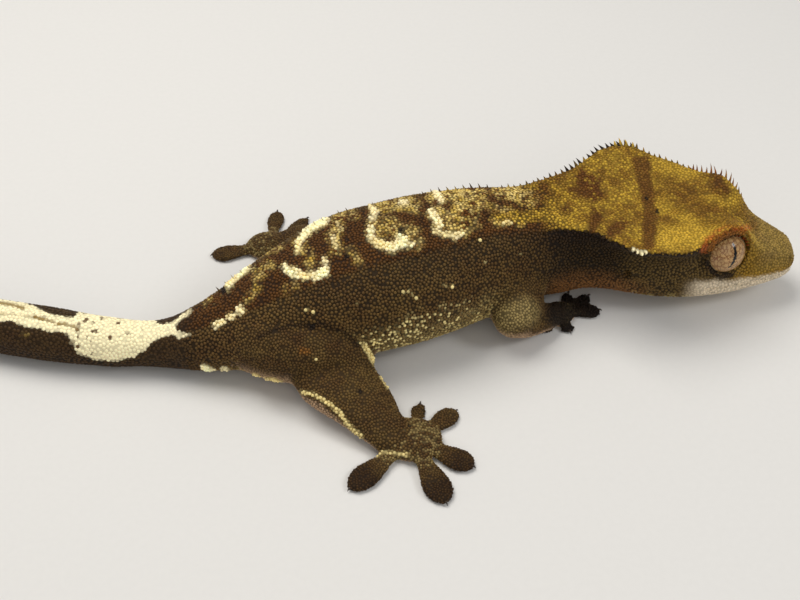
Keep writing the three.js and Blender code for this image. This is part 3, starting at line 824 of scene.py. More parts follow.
    spots = (
        (401, 230, 3.4), (312, 327, 3.2), (360, 391, 2.4), (409, 426, 2.0), (346, 257, 2.8),
        (646, 198, 2.0), (657, 211, 2.4), (224, 290, 3.2), (348, 240, 2.0),
    )
    dots = (
        (404, 292, 1.3), (409, 291, 1.2), (412, 294, 1.5), (416, 298, 1.4), (452, 286, 1.9),
        (445, 285, 1.5), (307, 310, 1.5), (313, 313, 1.5), (485, 262, 1.3), (521, 254, 1.3),
        (315, 359, 1.3), (357, 303, 1.2), (480, 240, 1.0),
    )
    leg_creams = (
        Stroke(1.5, ((254, 374), (259, 376))), Stroke(1.5, ((265, 378), (273, 379), (282, 382))),
        Stroke(1.8, ((302, 392), (312, 394), (322, 399), (332, 406), (340, 413), (346, 422),
                     (354, 430), (362, 436)), 0.9),
        Stroke(2.4, ((364, 345), (368, 352), (373, 361), (378, 370))),
        Stroke(1.5, ((381, 377), (388, 388)), 0.9),
        Stroke(1.6, ((376, 456), (384, 452), (395, 453), (407, 455)), 0.85),
    )

    @staticmethod
    def sure(colour: np.ndarray, shade: np.ndarray, share: np.ndarray) -> np.ndarray:
        """Lay one shade over part of the colours."""
        return mix(colour, np.broadcast_to(shade, colour.shape), share)

    @staticmethod
    def shown(w: Where) -> tuple[np.ndarray, np.ndarray]:
        """Where points show in the frame; the far side borrows the near side's places.

        Returns:
            Places in the frame, and a share of 0 where a point borrows or shows none.
        """
        seen = View.seen(w.points, w.ups)
        points = w.points.copy()
        hidden = w.trunk & (w.k < 5) & (seen < 0.5)
        points[hidden] = Trunk.point(w.t[hidden], 10 - w.k[hidden])
        borrowed = np.where(hidden, 1.0, seen)
        return View.places(points), borrowed

    @staticmethod
    def fleck(shown: np.ndarray, rows: tuple[tuple[float, float, float], ...]) -> np.ndarray:
        """How much small round specks cover."""
        found = np.zeros(len(shown))
        for x, y, size in rows:
            gap = np.hypot(shown[:, 0] - x, shown[:, 1] - y)
            found = np.maximum(found, step(gap, size + 0.6, size - 0.6))
        return found

    def creamy(self, w: Where, ragged: np.ndarray, shown: np.ndarray,
               seen: np.ndarray) -> np.ndarray:
        """How far cream scales cover each point."""
        cover = np.zeros(len(w.points))
        for stroke in self.creams:
            cover = np.maximum(cover, stroke.cover(shown, ragged))
        leg = np.zeros(len(w.points))
        for stroke in self.leg_creams:
            leg = np.maximum(leg, stroke.cover(shown, ragged * 0.3))
        near = w.leg == 0
        return np.where(w.trunk, cover, np.where(near, leg, 0.0)) * seen

    def trunk(self, w: Where) -> np.ndarray:
        """Colours on the trunk, with painted shade in the thigh's crease."""
        p, t, aside = w.points, w.t, w.aside
        fine, mid, broad = noise(p, 0.8, 1), noise(p, 2.4, 2), noise(p, 7.0, 3)
        shown, seen = self.shown(w)
        ragged = 4.0 * (mid - 0.5) + 2.6 * (fine - 0.5)
        lay = self.sure
        # flanks and belly
        colour = lay(np.tile(self.ground, (len(p), 1)), self.olive,
                     0.25 + 0.6 * broad + 0.5 * (fine - 0.5))
        grit = noise(p, 0.33, 21)
        colour = lay(colour, self.umber, 0.4 * step(aside, 2.6, 1.4) * step(t, 19, 17))
        low = step(aside + 0.5 * (mid - 0.5), 2.5, 3.7) * step(t, 13.8, 15.5) * step(t, 20.2, 18.6)
        colour = lay(colour, self.dun, low * (0.3 + 0.6 * (grit > 0.55)))
        groin = Stroke(9, ((366, 346), (378, 341), (392, 339), (412, 330)), 1, 9)
        colour = lay(colour, self.yellow, groin.cover(shown, ragged) * (grit > 0.56) * seen)
        trail = Stroke(10, ((412, 328), (440, 318), (470, 314)), 0.8, 10)
        colour = lay(colour, self.yellow, trail.cover(shown, ragged) * (grit > 0.7) * seen)
        colour = lay(colour, self.skin, 0.8 * step(aside, 4.2, 4.8))
        colour = lay(colour, self.umber, 0.7 * step(t, 14.9, 13.4) * step(t, 8, 12))
        # Painted shade in the thigh's crease.
        for stroke in self.folds:
            colour = lay(colour, self.umber * 0.6, stroke.cover(shown, ragged * 0.4) * seen)
        # the back between the rims
        back = step(aside + 0.04 * ragged, 1.12, 0.92) * step(t, 12.9, 13.6) * step(t, 20.9, 20.2)
        dark = lay(lay(np.tile(self.umber, (len(p), 1)), self.ground, 1.5 * mid),
                   self.brown, 0.3 + 0.5 * fine)
        colour = colour * (1 - back[:, None]) + dark * back[:, None]
        patch = lay(lay(np.tile(self.gold, (len(p), 1)), self.yellow, 0.8 * fine), self.brown,
                    0.7 * (noise(p, 0.5, 31) > 0.57) + 0.4 * step(noise(p, 1.6, 6), 0.5, 0.7))
        for stroke in self.golds:
            share = stroke.cover(shown, ragged * 1.4) * seen
            colour = colour * (1 - share[:, None]) + patch * share[:, None]
        halo = np.zeros(len(p))
        for stroke in self.creams:
            wider = replace(stroke, half=stroke.half + 1.8, strength=0.7, soft=2.4)
            halo = np.maximum(halo, wider.cover(shown, ragged))
        halo *= seen * back * (noise(p, 0.5, 31) < 0.6)
        colour = lay(colour, self.yellow * 0.75, halo)
        # the tail
        tail = step(t, 19.9, 20.6)
        colour = lay(colour, self.umber, 0.75 * tail)
        far_end = step(t, 24.6, 25.2)
        stripe = step(np.abs(aside - 1.0) + 0.08 * ragged, 0.6, 0.4) * far_end
        line = step(aside + 0.05 * ragged, 0.42, 0.25) * far_end
        colour = lay(lay(colour, self.cream, stripe * 0.9), self.brass, line * 0.8)
        marked = self.saddle.cover(shown, ragged * 0.55) * seen * tail * (1 - far_end)
        colour = lay(colour, self.ivory, marked)
        for seam in self.seams:
            colour = lay(colour, self.brass * 0.8, seam.cover(shown, ragged * 0.3) * marked)
        colour = lay(colour, self.brown * 0.8, self.fleck(shown, self.tail_specks) * marked * 0.95)
        # cream scales
        cream = lay(np.tile(self.cream, (len(p), 1)), self.yellow, 0.7 * step(mid, 0.35, 0.8))
        cover = self.creamy(w, ragged * 0.45, shown, seen)[:, None]
        colour = colour * (1 - cover) + cream * cover
        # the head and neck
        head = step(t, 14.0, 13.3)[:, None]
        colour = colour * (1 - head) + self.face(w, shown, seen, ragged) * head
        collar = Stroke(5.5, ((498, 218), (520, 217), (540, 214), (556, 217), (580, 229)), 0.9, 4)
        share = collar.cover(shown, ragged) * seen * step(aside, 1.14, 1.0)
        colour = lay(colour, self.gold, share * (0.45 + 0.55 * (noise(p, 0.5, 31) < 0.55)))
        colour = lay(colour, self.yellow, self.fleck(shown, self.dots) * seen)
        return lay(colour, self.black, self.fleck(shown, self.spots) * seen * 0.9)

    def face(self, w: Where, shown: np.ndarray, seen: np.ndarray,
             ragged: np.ndarray) -> np.ndarray:
        """Colours on the head and neck, with painted shade under the rim and a painted shadow in the crease
        below the eye.
        """
        p, t, aside = w.points, w.t, w.aside
        fine, mid, broad = noise(p, 0.7, 12), noise(p, 2.2, 13), noise(p, 6.0, 3)
        lay = self.sure
        crown = step(aside + 0.03 * ragged, 1.1, 0.98)
        crown = np.maximum(crown, step(t, 4.6, 3.4) * step(aside, 2.9, 2.2))
        top = lay(np.tile(self.gold, (len(p), 1)), self.brass, 0.25 + 0.9 * step(mid, 0.35, 0.8))
        top = lay(top, self.olive * 0.75 + self.dun * 0.22, 0.7 * step(t, 5.2, 3.2))
        top = lay(top, self.brass * 0.8, 0.3 * step(aside, 1.2, 2.2))
        stipple = (noise(p, 0.45, 31) > 0.5) * step(t, 8.2, 9.4)
        top = lay(top, self.brown, 0.5 * stipple)
        for stroke in self.clouds:
            share = stroke.cover(shown, ragged * 1.8) * (0.55 + 0.6 * (fine > 0.4)) * seen
            top = lay(top, self.brown, share)
        pale = Stroke(11, ((668, 238), (690, 238), (704, 240)), 0.85, 7)
        top = lay(top, self.gold * 1.12, pale.cover(shown, ragged) * seen)
        top = lay(top, self.brown, self.band.cover(shown, ragged * 0.7) * seen * 0.85)
        # Painted shade under the overhanging rim: the side is darkest just under it, lighter lower down, and
        # stays mostly dark on the neck.
        side = lay(np.tile(self.umber * 0.65, (len(p), 1)), self.olive * 0.75,
                   step(aside + 0.05 * ragged, 1.2, 2.6) * (0.25 + 0.75 * step(t, 11.2, 9.8)))
        side = lay(side, self.throat, step(aside, 2.7, 3.6) * step(t, 8.4, 10.2))
        side = lay(side, self.dun, step(aside, 3.2, 4.0) * step(t, 11, 8) * (fine > 0.5) * 0.8)
        side = lay(side, self.brass * 0.9, step(t, 6.2, 4.4) * step(aside, 3.4, 2.9))
        side = lay(side, self.lip, step(t, 8.0, 6.8) * step(aside + 0.04 * ragged, 2.7, 2.95))
        # Painted shadow in the crease under the eye.
        eye_crease_shadow = Stroke(2.6, ((706, 262), (711, 270), (720, 277), (731, 275)), 0.9, 2)
        side = lay(side, self.umber * 0.6, eye_crease_shadow.cover(shown, ragged * 0.3) * seen)
        hem = Stroke(3.0, ((703, 250), (707, 241), (716, 234), (727, 229), (748, 228)), 0.8, 2.5)
        ember = hem.cover(shown, ragged * 0.5) * seen * (0.4 + 0.6 * (fine > 0.5))
        side = lay(side, self.rust, ember)
        lid = Stroke(3.0, ((710, 249), (716, 241), (725, 235), (742, 233)), 0.75, 2)
        shade = self.rust * 0.5 + self.brass * 0.4
        side = lay(side, shade, lid.cover(shown, ragged * 0.3) * seen)
        top = lay(top, self.rust, ember)
        side = lay(side, self.skin, step(aside, 4.2, 4.7) * step(t, 7, 8))
        return side * (1 - crown[:, None]) + top * crown[:, None]

    def limbs(self, w: Where) -> np.ndarray:
        """Colours on the legs and feet, with painted shade in the thigh's crease and a painted shadow over the
        near fore foot.
        """
        p = w.points
        fine, mid = noise(p, 0.8, 1), noise(p, 2.8, 7)
        shown, seen = self.shown(w)
        lay = self.sure
        colour = lay(np.tile(self.ground * 0.85, (len(p), 1)), self.olive * 0.85,
                     0.2 + 0.6 * mid + 0.5 * (fine - 0.5))
        toe = w.region == Region.TOE.value
        dark = np.where(w.leg == 1, 0.25, 0.85)
        dark = np.where(w.leg == 0, 0.25 + 0.6 * step(shown[:, 1], 435, 470), dark)
        colour = lay(colour, self.umber * 1.2, toe * step(w.t, 0.3, 0.6) * dark)
        under = step(w.ups[:, 2], 0.0, -0.5) * (1 - toe)
        colour = lay(colour, self.skin, under * 0.85)
        foot = (w.region == Region.PALM.value) | (toe & (w.t < 0.3))
        colour = lay(colour, self.dun, foot * (noise(p, 0.5, 31) > 0.48) * 0.3)
        elbow = Stroke(14, ((508, 318), (524, 312)), 0.5, 8).cover(shown, mid * 0) * (w.leg == 2)
        colour = lay(colour, self.dun, elbow * seen)
        # Painted shadow: the near fore foot, in the shade under the neck, painted almost black.
        hand_shadow = Stroke(30, ((575, 310), (590, 315)), 1, 8).cover(shown, mid * 0)
        colour = lay(colour, self.black, hand_shadow * seen * (w.leg == 2) * 0.9)
        # Painted shade in the thigh's crease.
        for stroke in self.folds:
            colour = lay(colour, self.umber * 0.6, stroke.cover(shown, 1.5 * (mid - 0.5)) * seen)
        orange = Stroke(3.0, ((302, 351), (308, 352)), 0.5, 2.8)
        colour = lay(colour, self.rust * 0.5 + self.brass * 0.4, orange.cover(shown, 3 * (mid - 0.5)) * seen)
        flap = Stroke(3.4, ((258, 383), (283, 390), (300, 398), (320, 408), (336, 421), (350, 437),
                            (363, 446)), 0.85, 2).cover(shown, 2 * (mid - 0.5))
        colour = lay(colour, self.skin, flap * seen * (w.leg == 0))
        cover = self.creamy(w, 3 * (fine - 0.5), shown, seen)
        colour = lay(colour, self.yellow, cover)
        colour = lay(colour, self.yellow, self.fleck(shown, self.dots) * seen)
        return lay(colour, self.black, self.fleck(shown, self.spots) * seen * 0.9)

    def colour(self, w: Where) -> np.ndarray:
        """Colours of all points."""
        rows = np.zeros((len(w.points), 3))
        for mask, shade in ((w.trunk, self.trunk), (~w.trunk, self.limbs)):
            rows[mask] = shade(w.part(mask))
        return np.clip(rows, 0.001, 0.92)

    def even(self, w: Where) -> np.ndarray:
        """How far each point lies where scales are flat and all of one colour."""
        shown, seen = self.shown(w)
        saddle = self.saddle.cover(shown, np.zeros(len(shown))) * seen * step(w.t, 19.9, 20.6)
        lips = step(w.t, 8.4, 7.2) * step(w.aside, 2.55, 2.8)
        return np.where(w.trunk, np.maximum(saddle, lips), 0.0)

    def raised(self, w: Where) -> np.ndarray:
        """How far each point lies in a raised cream marking."""
        ragged = 1.8 * (noise(w.points, 2.4, 2) - 0.5) + 1.2 * (noise(w.points, 0.8, 1) - 0.5)
        shown, seen = self.shown(w)
        return np.maximum(self.creamy(w, ragged, shown, seen),
                          self.fleck(shown, self.dots) * seen)


# ---------------------------------------------------------------- finishes


def node(tree: bpy.types.NodeTree, kind: str, **values: object) -> bpy.types.Node:
    """Add a shader node and set its fields and inputs.

    Args:
        tree: The node tree.
        kind: Blender's node type.
        **values: Fields of the node, or inputs by name with spaces as underscores.

    Returns:
        The node.
    """
    made = tree.nodes.new(kind)
    for key, value in values.items():
        if hasattr(made, key):
            setattr(made, key, value)
        else:
            made.inputs[key.replace("_", " ")].default_value = value
    return made


def grain_group() -> bpy.types.NodeTree:
    """Build the fine skin grain that every scaly finish shares."""
    tree = bpy.data.node_groups.new("skin_grain", "ShaderNodeTree")
    face = tree.interface
    for name, kind, value in (("Colour", "NodeSocketColor", None), ("Grain", "NodeSocketFloat", 9000.0),
                              ("Variation", "NodeSocketFloat", 0.2)):
        socket = face.new_socket(name, in_out="INPUT", socket_type=kind)
        if value is not None:
            socket.default_value = value
    for name, kind in (("Colour", "NodeSocketColor"), ("Height", "NodeSocketFloat")):
        face.new_socket(name, in_out="OUTPUT", socket_type=kind)
    entry, leave = tree.nodes.new("NodeGroupInput"), tree.nodes.new("NodeGroupOutput")
    place = node(tree, "ShaderNodeTexCoord")
    cells = node(tree, "ShaderNodeTexVoronoi", feature="F1")
    cloud = node(tree, "ShaderNodeTexNoise", Detail=4.0, Roughness=0.6, Scale=1400.0)
    link = tree.links.new
    link(place.outputs["Object"], cells.inputs["Vector"])
    link(place.outputs["Object"], cloud.inputs["Vector"])
    link(entry.outputs["Grain"], cells.inputs["Scale"])
    low = node(tree, "ShaderNodeMath", operation="SUBTRACT")
    low.inputs[0].default_value = 1.0
    high = node(tree, "ShaderNodeMath", operation="ADD")
    high.inputs[0].default_value = 1.0
    link(entry.outputs["Variation"], low.inputs[1])
    link(entry.outputs["Variation"], high.inputs[1])
    span = node(tree, "ShaderNodeMapRange")
    link(cloud.outputs["Fac"], span.inputs["Value"])
    span.inputs["From Min"].default_value = 0.3
    span.inputs["From Max"].default_value = 0.7
    link(low.outputs[0], span.inputs["To Min"])
    link(high.outputs[0], span.inputs["To Max"])
    shade = node(tree, "ShaderNodeVectorMath", operation="SCALE")
    link(entry.outputs["Colour"], shade.inputs[0])
    link(span.outputs["Result"], shade.inputs["Scale"])
    link(shade.outputs[0], leave.inputs["Colour"])
    height = node(tree, "ShaderNodeMath", operation="MULTIPLY_ADD")
    height.inputs[1].default_value = 0.6
    link(cells.outputs["Distance"], height.inputs[0])
    link(cloud.outputs["Fac"], height.inputs[2])
    link(height.outputs[0], leave.inputs["Height"])
    return tree


@dataclass(frozen=True)
class ScalyFinish:
    """Skin or scales whose colour is stored on the mesh.

    Attributes:
        name: Material name.
        roughness: How matt it is.
        grain: Fineness of the bump.
        bump: Depth of the bump in metres.
        painted_top_light: Painted highlight on a scale's top and painted shade at its foot: how much lighter
            the top is than the foot.
        variation: Mottling from place to place.
    """

    name: str
    roughness: float
    grain: float
    bump: float
    painted_top_light: float
    variation: float

    def make(self, group: bpy.types.NodeTree) -> bpy.types.Material:
        """Build the material."""
        made = bpy.data.materials.new(self.name)
        made.use_nodes = True
        tree = made.node_tree
        shader = tree.nodes["Principled BSDF"]
        tone = node(tree, "ShaderNodeAttribute", attribute_name="tone")
        rise = node(tree, "ShaderNodeAttribute", attribute_name="rise")
        grain = tree.nodes.new("ShaderNodeGroup")
        grain.node_tree = group
        grain.inputs["Grain"].default_value = self.grain
        grain.inputs["Variation"].default_value = self.variation
        # Painted highlight on each scale's top and painted shade at its foot, set by how high the point rises.
        light = node(tree, "ShaderNodeMapRange")
        light.inputs["From Max"].default_value = 0.5
        light.inputs["To Min"].default_value = 1.0 - self.painted_top_light
        light.inputs["To Max"].default_value = 1.0 + self.painted_top_light * 0.6
        shade = node(tree, "ShaderNodeVectorMath", operation="SCALE")
        link = tree.links.new
        link(rise.outputs["Fac"], light.inputs["Value"])
        link(tone.outputs["Color"], shade.inputs[0])
        link(light.outputs["Result"], shade.inputs["Scale"])
        link(shade.outputs[0], grain.inputs["Colour"])
        link(grain.outputs["Colour"], shader.inputs["Base Color"])
        bump = node(tree, "ShaderNodeBump", Strength=0.6)
        bump.inputs["Distance"].default_value = self.bump
        link(grain.outputs["Height"], bump.inputs["Height"])
        link(bump.outputs["Normal"], shader.inputs["Normal"])
        shader.inputs["Roughness"].default_value = self.roughness
        shader.inputs["Specular IOR Level"].default_value = 0.18
        return made


@dataclass(frozen=True)
class EyeFinish:
    """A pinkish tan iris with fine veins and a thin upright pupil."""

    name: str = "iris_gloss"
    ground: tuple = (198, 158, 104)
    vein: tuple = (112, 56, 18)
    edge: tuple = (196, 182, 156)

    def make(self) -> bpy.types.Material:
        """Build the material from the eye's own coordinates."""
        made = bpy.data.materials.new(self.name)
        made.use_nodes = True
        tree = made.node_tree
        link = tree.links.new
        shader = tree.nodes["Principled BSDF"]
        gaze = node(tree, "ShaderNodeAttribute", attribute_name="gaze")
        cloud = node(tree, "ShaderNodeTexNoise", Scale=3.2, Detail=5.0, Roughness=0.65)
        cloud.inputs["Distortion"].default_value = 1.6
        link(gaze.outputs["Vector"], cloud.inputs["Vector"])
        warp = node(tree, "ShaderNodeVectorMath", operation="SCALE")
        warp.inputs["Scale"].default_value = 0.35
        link(cloud.outputs["Color"], warp.inputs[0])
        bent = node(tree, "ShaderNodeVectorMath", operation="ADD")
        link(gaze.outputs["Vector"], bent.inputs[0])
        link(warp.outputs[0], bent.inputs[1])
        web = node(tree, "ShaderNodeTexVoronoi", feature="DISTANCE_TO_EDGE", Scale=5.0)
        link(bent.outputs[0], web.inputs["Vector"])
        veins = node(tree, "ShaderNodeMapRange")
        for key, value in (("From Min", 0.0), ("From Max", 0.16), ("To Min", 1.0), ("To Max", 0.0)):
            veins.inputs[key].default_value = value
        link(web.outputs["Distance"], veins.inputs["Value"])
        base = node(tree, "ShaderNodeMix", data_type="RGBA")
        base.inputs[6].default_value = (*linear(*self.ground), 1)
        base.inputs[7].default_value = (*linear(*self.vein), 1)
        link(veins.outputs["Result"], base.inputs[0])
        tint = node(tree, "ShaderNodeMix", data_type="RGBA")
        tint.inputs[7].default_value = (*(linear(*self.ground) * 0.62), 1)
        tone = node(tree, "ShaderNodeMapRange")
        for key, value in (("From Min", 0.4), ("From Max", 0.7), ("To Min", 0.0), ("To Max", 0.6)):
            tone.inputs[key].default_value = value
        link(cloud.outputs["Fac"], tone.inputs["Value"])
        link(tone.outputs["Result"], tint.inputs[0])
        link(base.outputs[2], tint.inputs[6])
        ring = node(tree, "ShaderNodeAttribute", attribute_name="rim")
        dark = node(tree, "ShaderNodeMix", data_type="RGBA")
        dark.inputs[7].default_value = (*linear(*self.edge), 1)
        link(ring.outputs["Fac"], dark.inputs[0])
        link(tint.outputs[2], dark.inputs[6])
        slit = node(tree, "ShaderNodeAttribute", attribute_name="pupil")
        pupil = node(tree, "ShaderNodeMix", data_type="RGBA")
        pupil.inputs[7].default_value = (0.002, 0.002, 0.002, 1)
        link(slit.outputs["Fac"], pupil.inputs[0])
        link(dark.outputs[2], pupil.inputs[6])
        link(pupil.outputs[2], shader.inputs["Base Color"])
        shader.inputs["Roughness"].default_value = 0.35
        shader.inputs["Specular IOR Level"].default_value = 0.15
        shader.inputs["Coat Weight"].default_value = 0.5
        shader.inputs["Coat Roughness"].default_value = 0.04
        return made


def plain_finish(name: str, colour: tuple, roughness: float, uneven: float) -> bpy.types.Material:
    """A quiet finish with slight unevenness, for claws and the floor.

    Args:
        name: Material name.
        colour: Display colour.
        roughness: How matt it is.
        uneven: Share by which the colour varies.

    Returns:
        The material.
    """
    made = bpy.data.materials.new(name)
    made.use_nodes = True
    tree = made.node_tree
    shader = tree.nodes["Principled BSDF"]
    place = node(tree, "ShaderNodeTexCoord")
    cloud = node(tree, "ShaderNodeTexNoise", Scale=900.0, Detail=3.0)
    ramp = node(tree, "ShaderNodeMix", data_type="RGBA")
    ramp.inputs[6].default_value = (*(linear(*colour) * (1 - uneven)), 1)
    ramp.inputs[7].default_value = (*np.minimum(linear(*colour) * (1 + uneven), 1), 1)
    tree.links.new(place.outputs["Object"], cloud.inputs["Vector"])
    tree.links.new(cloud.outputs["Fac"], ramp.inputs[0])
    tree.links.new(ramp.outputs[2], shader.inputs["Base Color"])
    shader.inputs["Roughness"].default_value = roughness
    return made


# ---------------------------------------------------------------- the skin


@dataclass
class Skin:
    """One closed skin over the whole body, sculpted at the mouth, nose, ears and eyes."""

    plan: Plan
    atlas: Atlas
    markings: Markings
    voxel: float = 0.42
    inset: float = 0.12
    piece: bpy.types.Object | None = None
    where: Where | None = None
    normals: np.ndarray | None = None

    def build(self, finish: bpy.types.Material) -> bpy.types.Object:
        """Fuse, smooth, sculpt, colour and place the skin."""
        piece = self.fuse()
        mesh = piece.data
        points = self.plan.millimetres(points_of(mesh))
        w = self.atlas.where(points, normals_of(mesh))
        points = self.relax(mesh, points, w)
        mesh.vertices.foreach_set("co", self.plan.metres(points).astype(np.float32).ravel())
        mesh.update()
        points = self.sculpt(points, normals_of(mesh))
        mesh.vertices.foreach_set("co", self.plan.metres(points).astype(np.float32).ravel())
        mesh.update()
        self.normals = normals_of(mesh)
        self.where = self.atlas.where(points, self.normals)
        shade = self.markings.colour(self.where)
        # The skin's colour times painted shade between the scales.
        set_colour(mesh, "tone", shade * self.gap_shade(self.where)[:, None])
        set_value(mesh, "rise", np.full(len(points), 0.35))
        smooth_faces(mesh)
        mesh.materials.clear()
        mesh.materials.append(finish)
        mesh.polygons.foreach_set("material_index", np.zeros(len(mesh.polygons), np.int32))
        self.piece = piece
        return piece

    def gap_shade(self, w: Where) -> np.ndarray:
        """Painted shade on the skin between the scales: how dark it shows there."""
        head = np.where(w.trunk, step(w.t, 13.6, 12.4) * step(w.aside, 2.4, 1.2), 0.0)
        snout = np.where(w.trunk, step(w.t, 5.4, 3.6), 0.0)
        tail = np.where(w.trunk & (w.aside < 3), step(w.t, 20.0, 21.0), 0.0)
        leg = np.where(w.trunk, 0.0, 1.0)
        shade = 0.32 + 0.36 * np.maximum(head, snout) + 0.3 * tail + 0.18 * leg
        pale = np.maximum(self.markings.even(w), 0.8 * self.markings.raised(w))
        return shade + (0.94 - shade) * pale

    def fuse(self) -> bpy.types.Object:
        """Join the runs of the body into one closed surface."""
        t, k = np.linspace(0, Trunk.end, 460), np.arange(0, 10, 0.125)
        grid_t, grid_k = np.meshgrid(t, k, indexing="ij")
        trunk = Trunk.point(grid_t.ravel(), grid_k.ravel()).reshape(len(t), len(k), 3)
        trunk[..., 2] = np.maximum(trunk[..., 2], 0)
        runs = [trunk] + [rings for limb in LEGS.values() for _, rings in limb.runs()]
        runs += [self.orbit(side) for side in (-1, 1)]
        points, faces, start = [], [], 0
        for rings in runs:
            p, f = loft(rings) if rings.shape[0] != 30 else self.ring(rings)
            points.append(p)
            faces.append(f + start)
            start += len(p)
        piece = new_object("skin", self.plan.metres(np.vstack(points)), np.vstack(faces))
        select_only(piece)
        fuse = piece.modifiers.new("fuse", "REMESH")
        fuse.mode, fuse.voxel_size = "VOXEL", self.voxel * MM
        bpy.ops.object.modifier_apply(modifier="fuse")
        for side in (-1, 1):
            self.open_eye(piece, side)
        return piece

    def open_eye(self, piece: bpy.types.Object, side: int) -> None:
        """Cut the opening of one eye, as an egg lying along the eye's gaze."""
        bpy.ops.object.select_all(action="DESELECT")
        bpy.ops.mesh.primitive_uv_sphere_add(segments=64, ring_count=40, radius=1.0)
        egg = bpy.context.object
        look = Head.look(side)
        level = unit(np.cross([0, 0, 1], look))
        sized = points_of(egg.data) * [4.1, 4.1, 3.4]
        middle = Head.eye_centre(side) + look * 3.3 - level * side * 0.25 + [0, 0, 0.3]
        place = middle + sized @ np.stack([level, np.cross(look, level), look])
        egg.data.vertices.foreach_set("co", self.plan.metres(place).astype(np.float32).ravel())
        egg.data.update()
        select_only(piece)
        cut = piece.modifiers.new("opening", "BOOLEAN")
        cut.operation, cut.object, cut.solver = "DIFFERENCE", egg, "MANIFOLD"
        bpy.ops.object.modifier_apply(modifier="opening")
        bpy.data.objects.remove(egg)

    @staticmethod
    def orbit(side: int) -> np.ndarray:
        """Rings of the raised rim of skin round an eye."""
        look = Head.look(side)
        level = unit(np.cross([0, 0, 1], look))
        up = np.cross(look, level)
        centre = Head.eye_centre(side) + look * 2.1
        rings = []
        for a in np.linspace(0, 2 * np.pi, 30, endpoint=False):
            out = level * math.cos(a) + up * math.sin(a)
            b = np.linspace(0, 2 * np.pi, 14, endpoint=False)[:, None]
            rings.append(centre + out * 4.15 + out * np.cos(b) * 0.62 + look * np.sin(b) * 0.62)
        return np.array(rings)

    @staticmethod
    def ring(rings: np.ndarray) -> tuple[np.ndarray, np.ndarray]:
        """Close a run of rings on itself."""
        count, sides = rings.shape[:2]
        r, i = np.meshgrid(np.arange(count), np.arange(sides), indexing="ij")
        a, b = (r * sides + i).ravel(), (r * sides + (i + 1) % sides).ravel()
        c, d = (((r + 1) % count) * sides + i).ravel(), (((r + 1) % count) * sides + (i + 1) % sides).ravel()
        points, faces = rings.reshape(-1, 3), np.vstack([np.stack([a, b, d], 1), np.stack([a, d, c], 1)])
        middle = points.mean(0)
        p, q, s = (points[faces[:, n]] - middle for n in range(3))
        return (points, faces) if (p * np.cross(q, s)).sum() > 0 else (points, faces[:, ::-1])

    def relax(self, mesh: bpy.types.Mesh, points: np.ndarray, w: Where) -> np.ndarray:
        """Smooth the skin, most of all where limbs meet the trunk."""
        edges = np.empty(len(mesh.edges) * 2, np.int32)
        mesh.edges.foreach_get("vertices", edges)
        a, b = edges.reshape(-1, 2).T
        count = np.bincount(a, minlength=len(points)) + np.bincount(b, minlength=len(points))
        joint = np.zeros(len(points))
        for limb in LEGS.values():
            for row, reach in ((limb.upper[1], 9.0), (limb.upper[-1], 6.0), (limb.lower[-1], 4.5),
                               (limb.upper[0], 8.0)):
                joint = np.maximum(joint, step(np.linalg.norm(points - row[:3], axis=1), reach,
                                               reach * 0.6))
        toe = (w.region == Region.TOE.value) | (w.region == Region.PALM.value)
        for turn in range(26):
            total = np.stack([np.bincount(a, points[b, c], len(points))
                              + np.bincount(b, points[a, c], len(points)) for c in range(3)], 1)
            mean = total / np.maximum(count, 1)[:, None]
            share = np.where(toe, 0.25 if turn < 5 else 0.0, 0.5 if turn < 5 else 0.5 * joint)
            points = points + (mean - points) * share[:, None]
        return points

    def sculpt(self, points: np.ndarray, normals: np.ndarray) -> np.ndarray:
        """Move points of the skin to form its openings and folds.

        Args:
            points: The skin's points on the plan.
            normals: Their outward directions.

        Returns:
            The moved points.
        """
        moved = points - normals * self.inset
        head = points[:, 0] > 30
        line = Head.mouth()
        near = np.full(len(points), 99.0)
        rows = np.where(points[:, 0] > 46)[0]
        gap = points[rows][:, None] - line[None, ::2]
        near[rows] = np.sqrt((gap**2).sum(2)).min(1)
        moved -= normals * (0.38 * np.exp(-((near / 0.32) ** 2)))[:, None]
        moved += normals * (0.16 * np.exp(-(((near - 0.95) / 0.45) ** 2)))[:, None]
        for side in (-1, 1):
            nostril = Trunk.point(1.35, 5 - side * 3.1)[0]
            d = np.linalg.norm(points - nostril, axis=1)
            moved -= normals * (0.7 * np.exp(-((d / 0.42) ** 2)))[:, None]
            moved += normals * (0.14 * np.exp(-(((d - 0.8) / 0.3) ** 2)))[:, None]
            ear = Trunk.point(10.2, 5 - side * 2.15)[0]
            q = (points - ear) / np.array([0.7, 1.6, 1.35])
            d = np.linalg.norm(q, axis=1)
            moved -= normals * (1.3 * step(d, 1.0, 0.5) * head)[:, None]
            moved += normals * (0.2 * np.exp(-(((d - 1.25) / 0.3) ** 2)) * head)[:, None]
            moved = self.socket(moved, side)
        folds = noise(points * [1, 1, 0.5], 5.0, 11) - 0.5
        moved += normals * (0.25 * folds)[:, None]
        moved[:, 2] = np.maximum(moved[:, 2], 0.02)
        return moved

    @staticmethod
    def socket(points: np.ndarray, side: int) -> np.ndarray:
        """Sink the skin behind an eyeball."""
        centre, look = Head.eye_centre(side), Head.look(side)
        away = points - centre
        far = np.linalg.norm(away, axis=1)
        angle = np.arccos(np.clip((away @ look) / np.maximum(far, 1e-6), -1, 1))
        inside = (angle < Head.eye_opening) & (far < Head.eye_radius + 0.3)
        size = np.where(inside, np.minimum(far, Head.eye_radius - 0.3), far)
        return centre + away * (size / np.maximum(far, 1e-6))[:, None]


# ---------------------------------------------------------------- scales, spines and claws


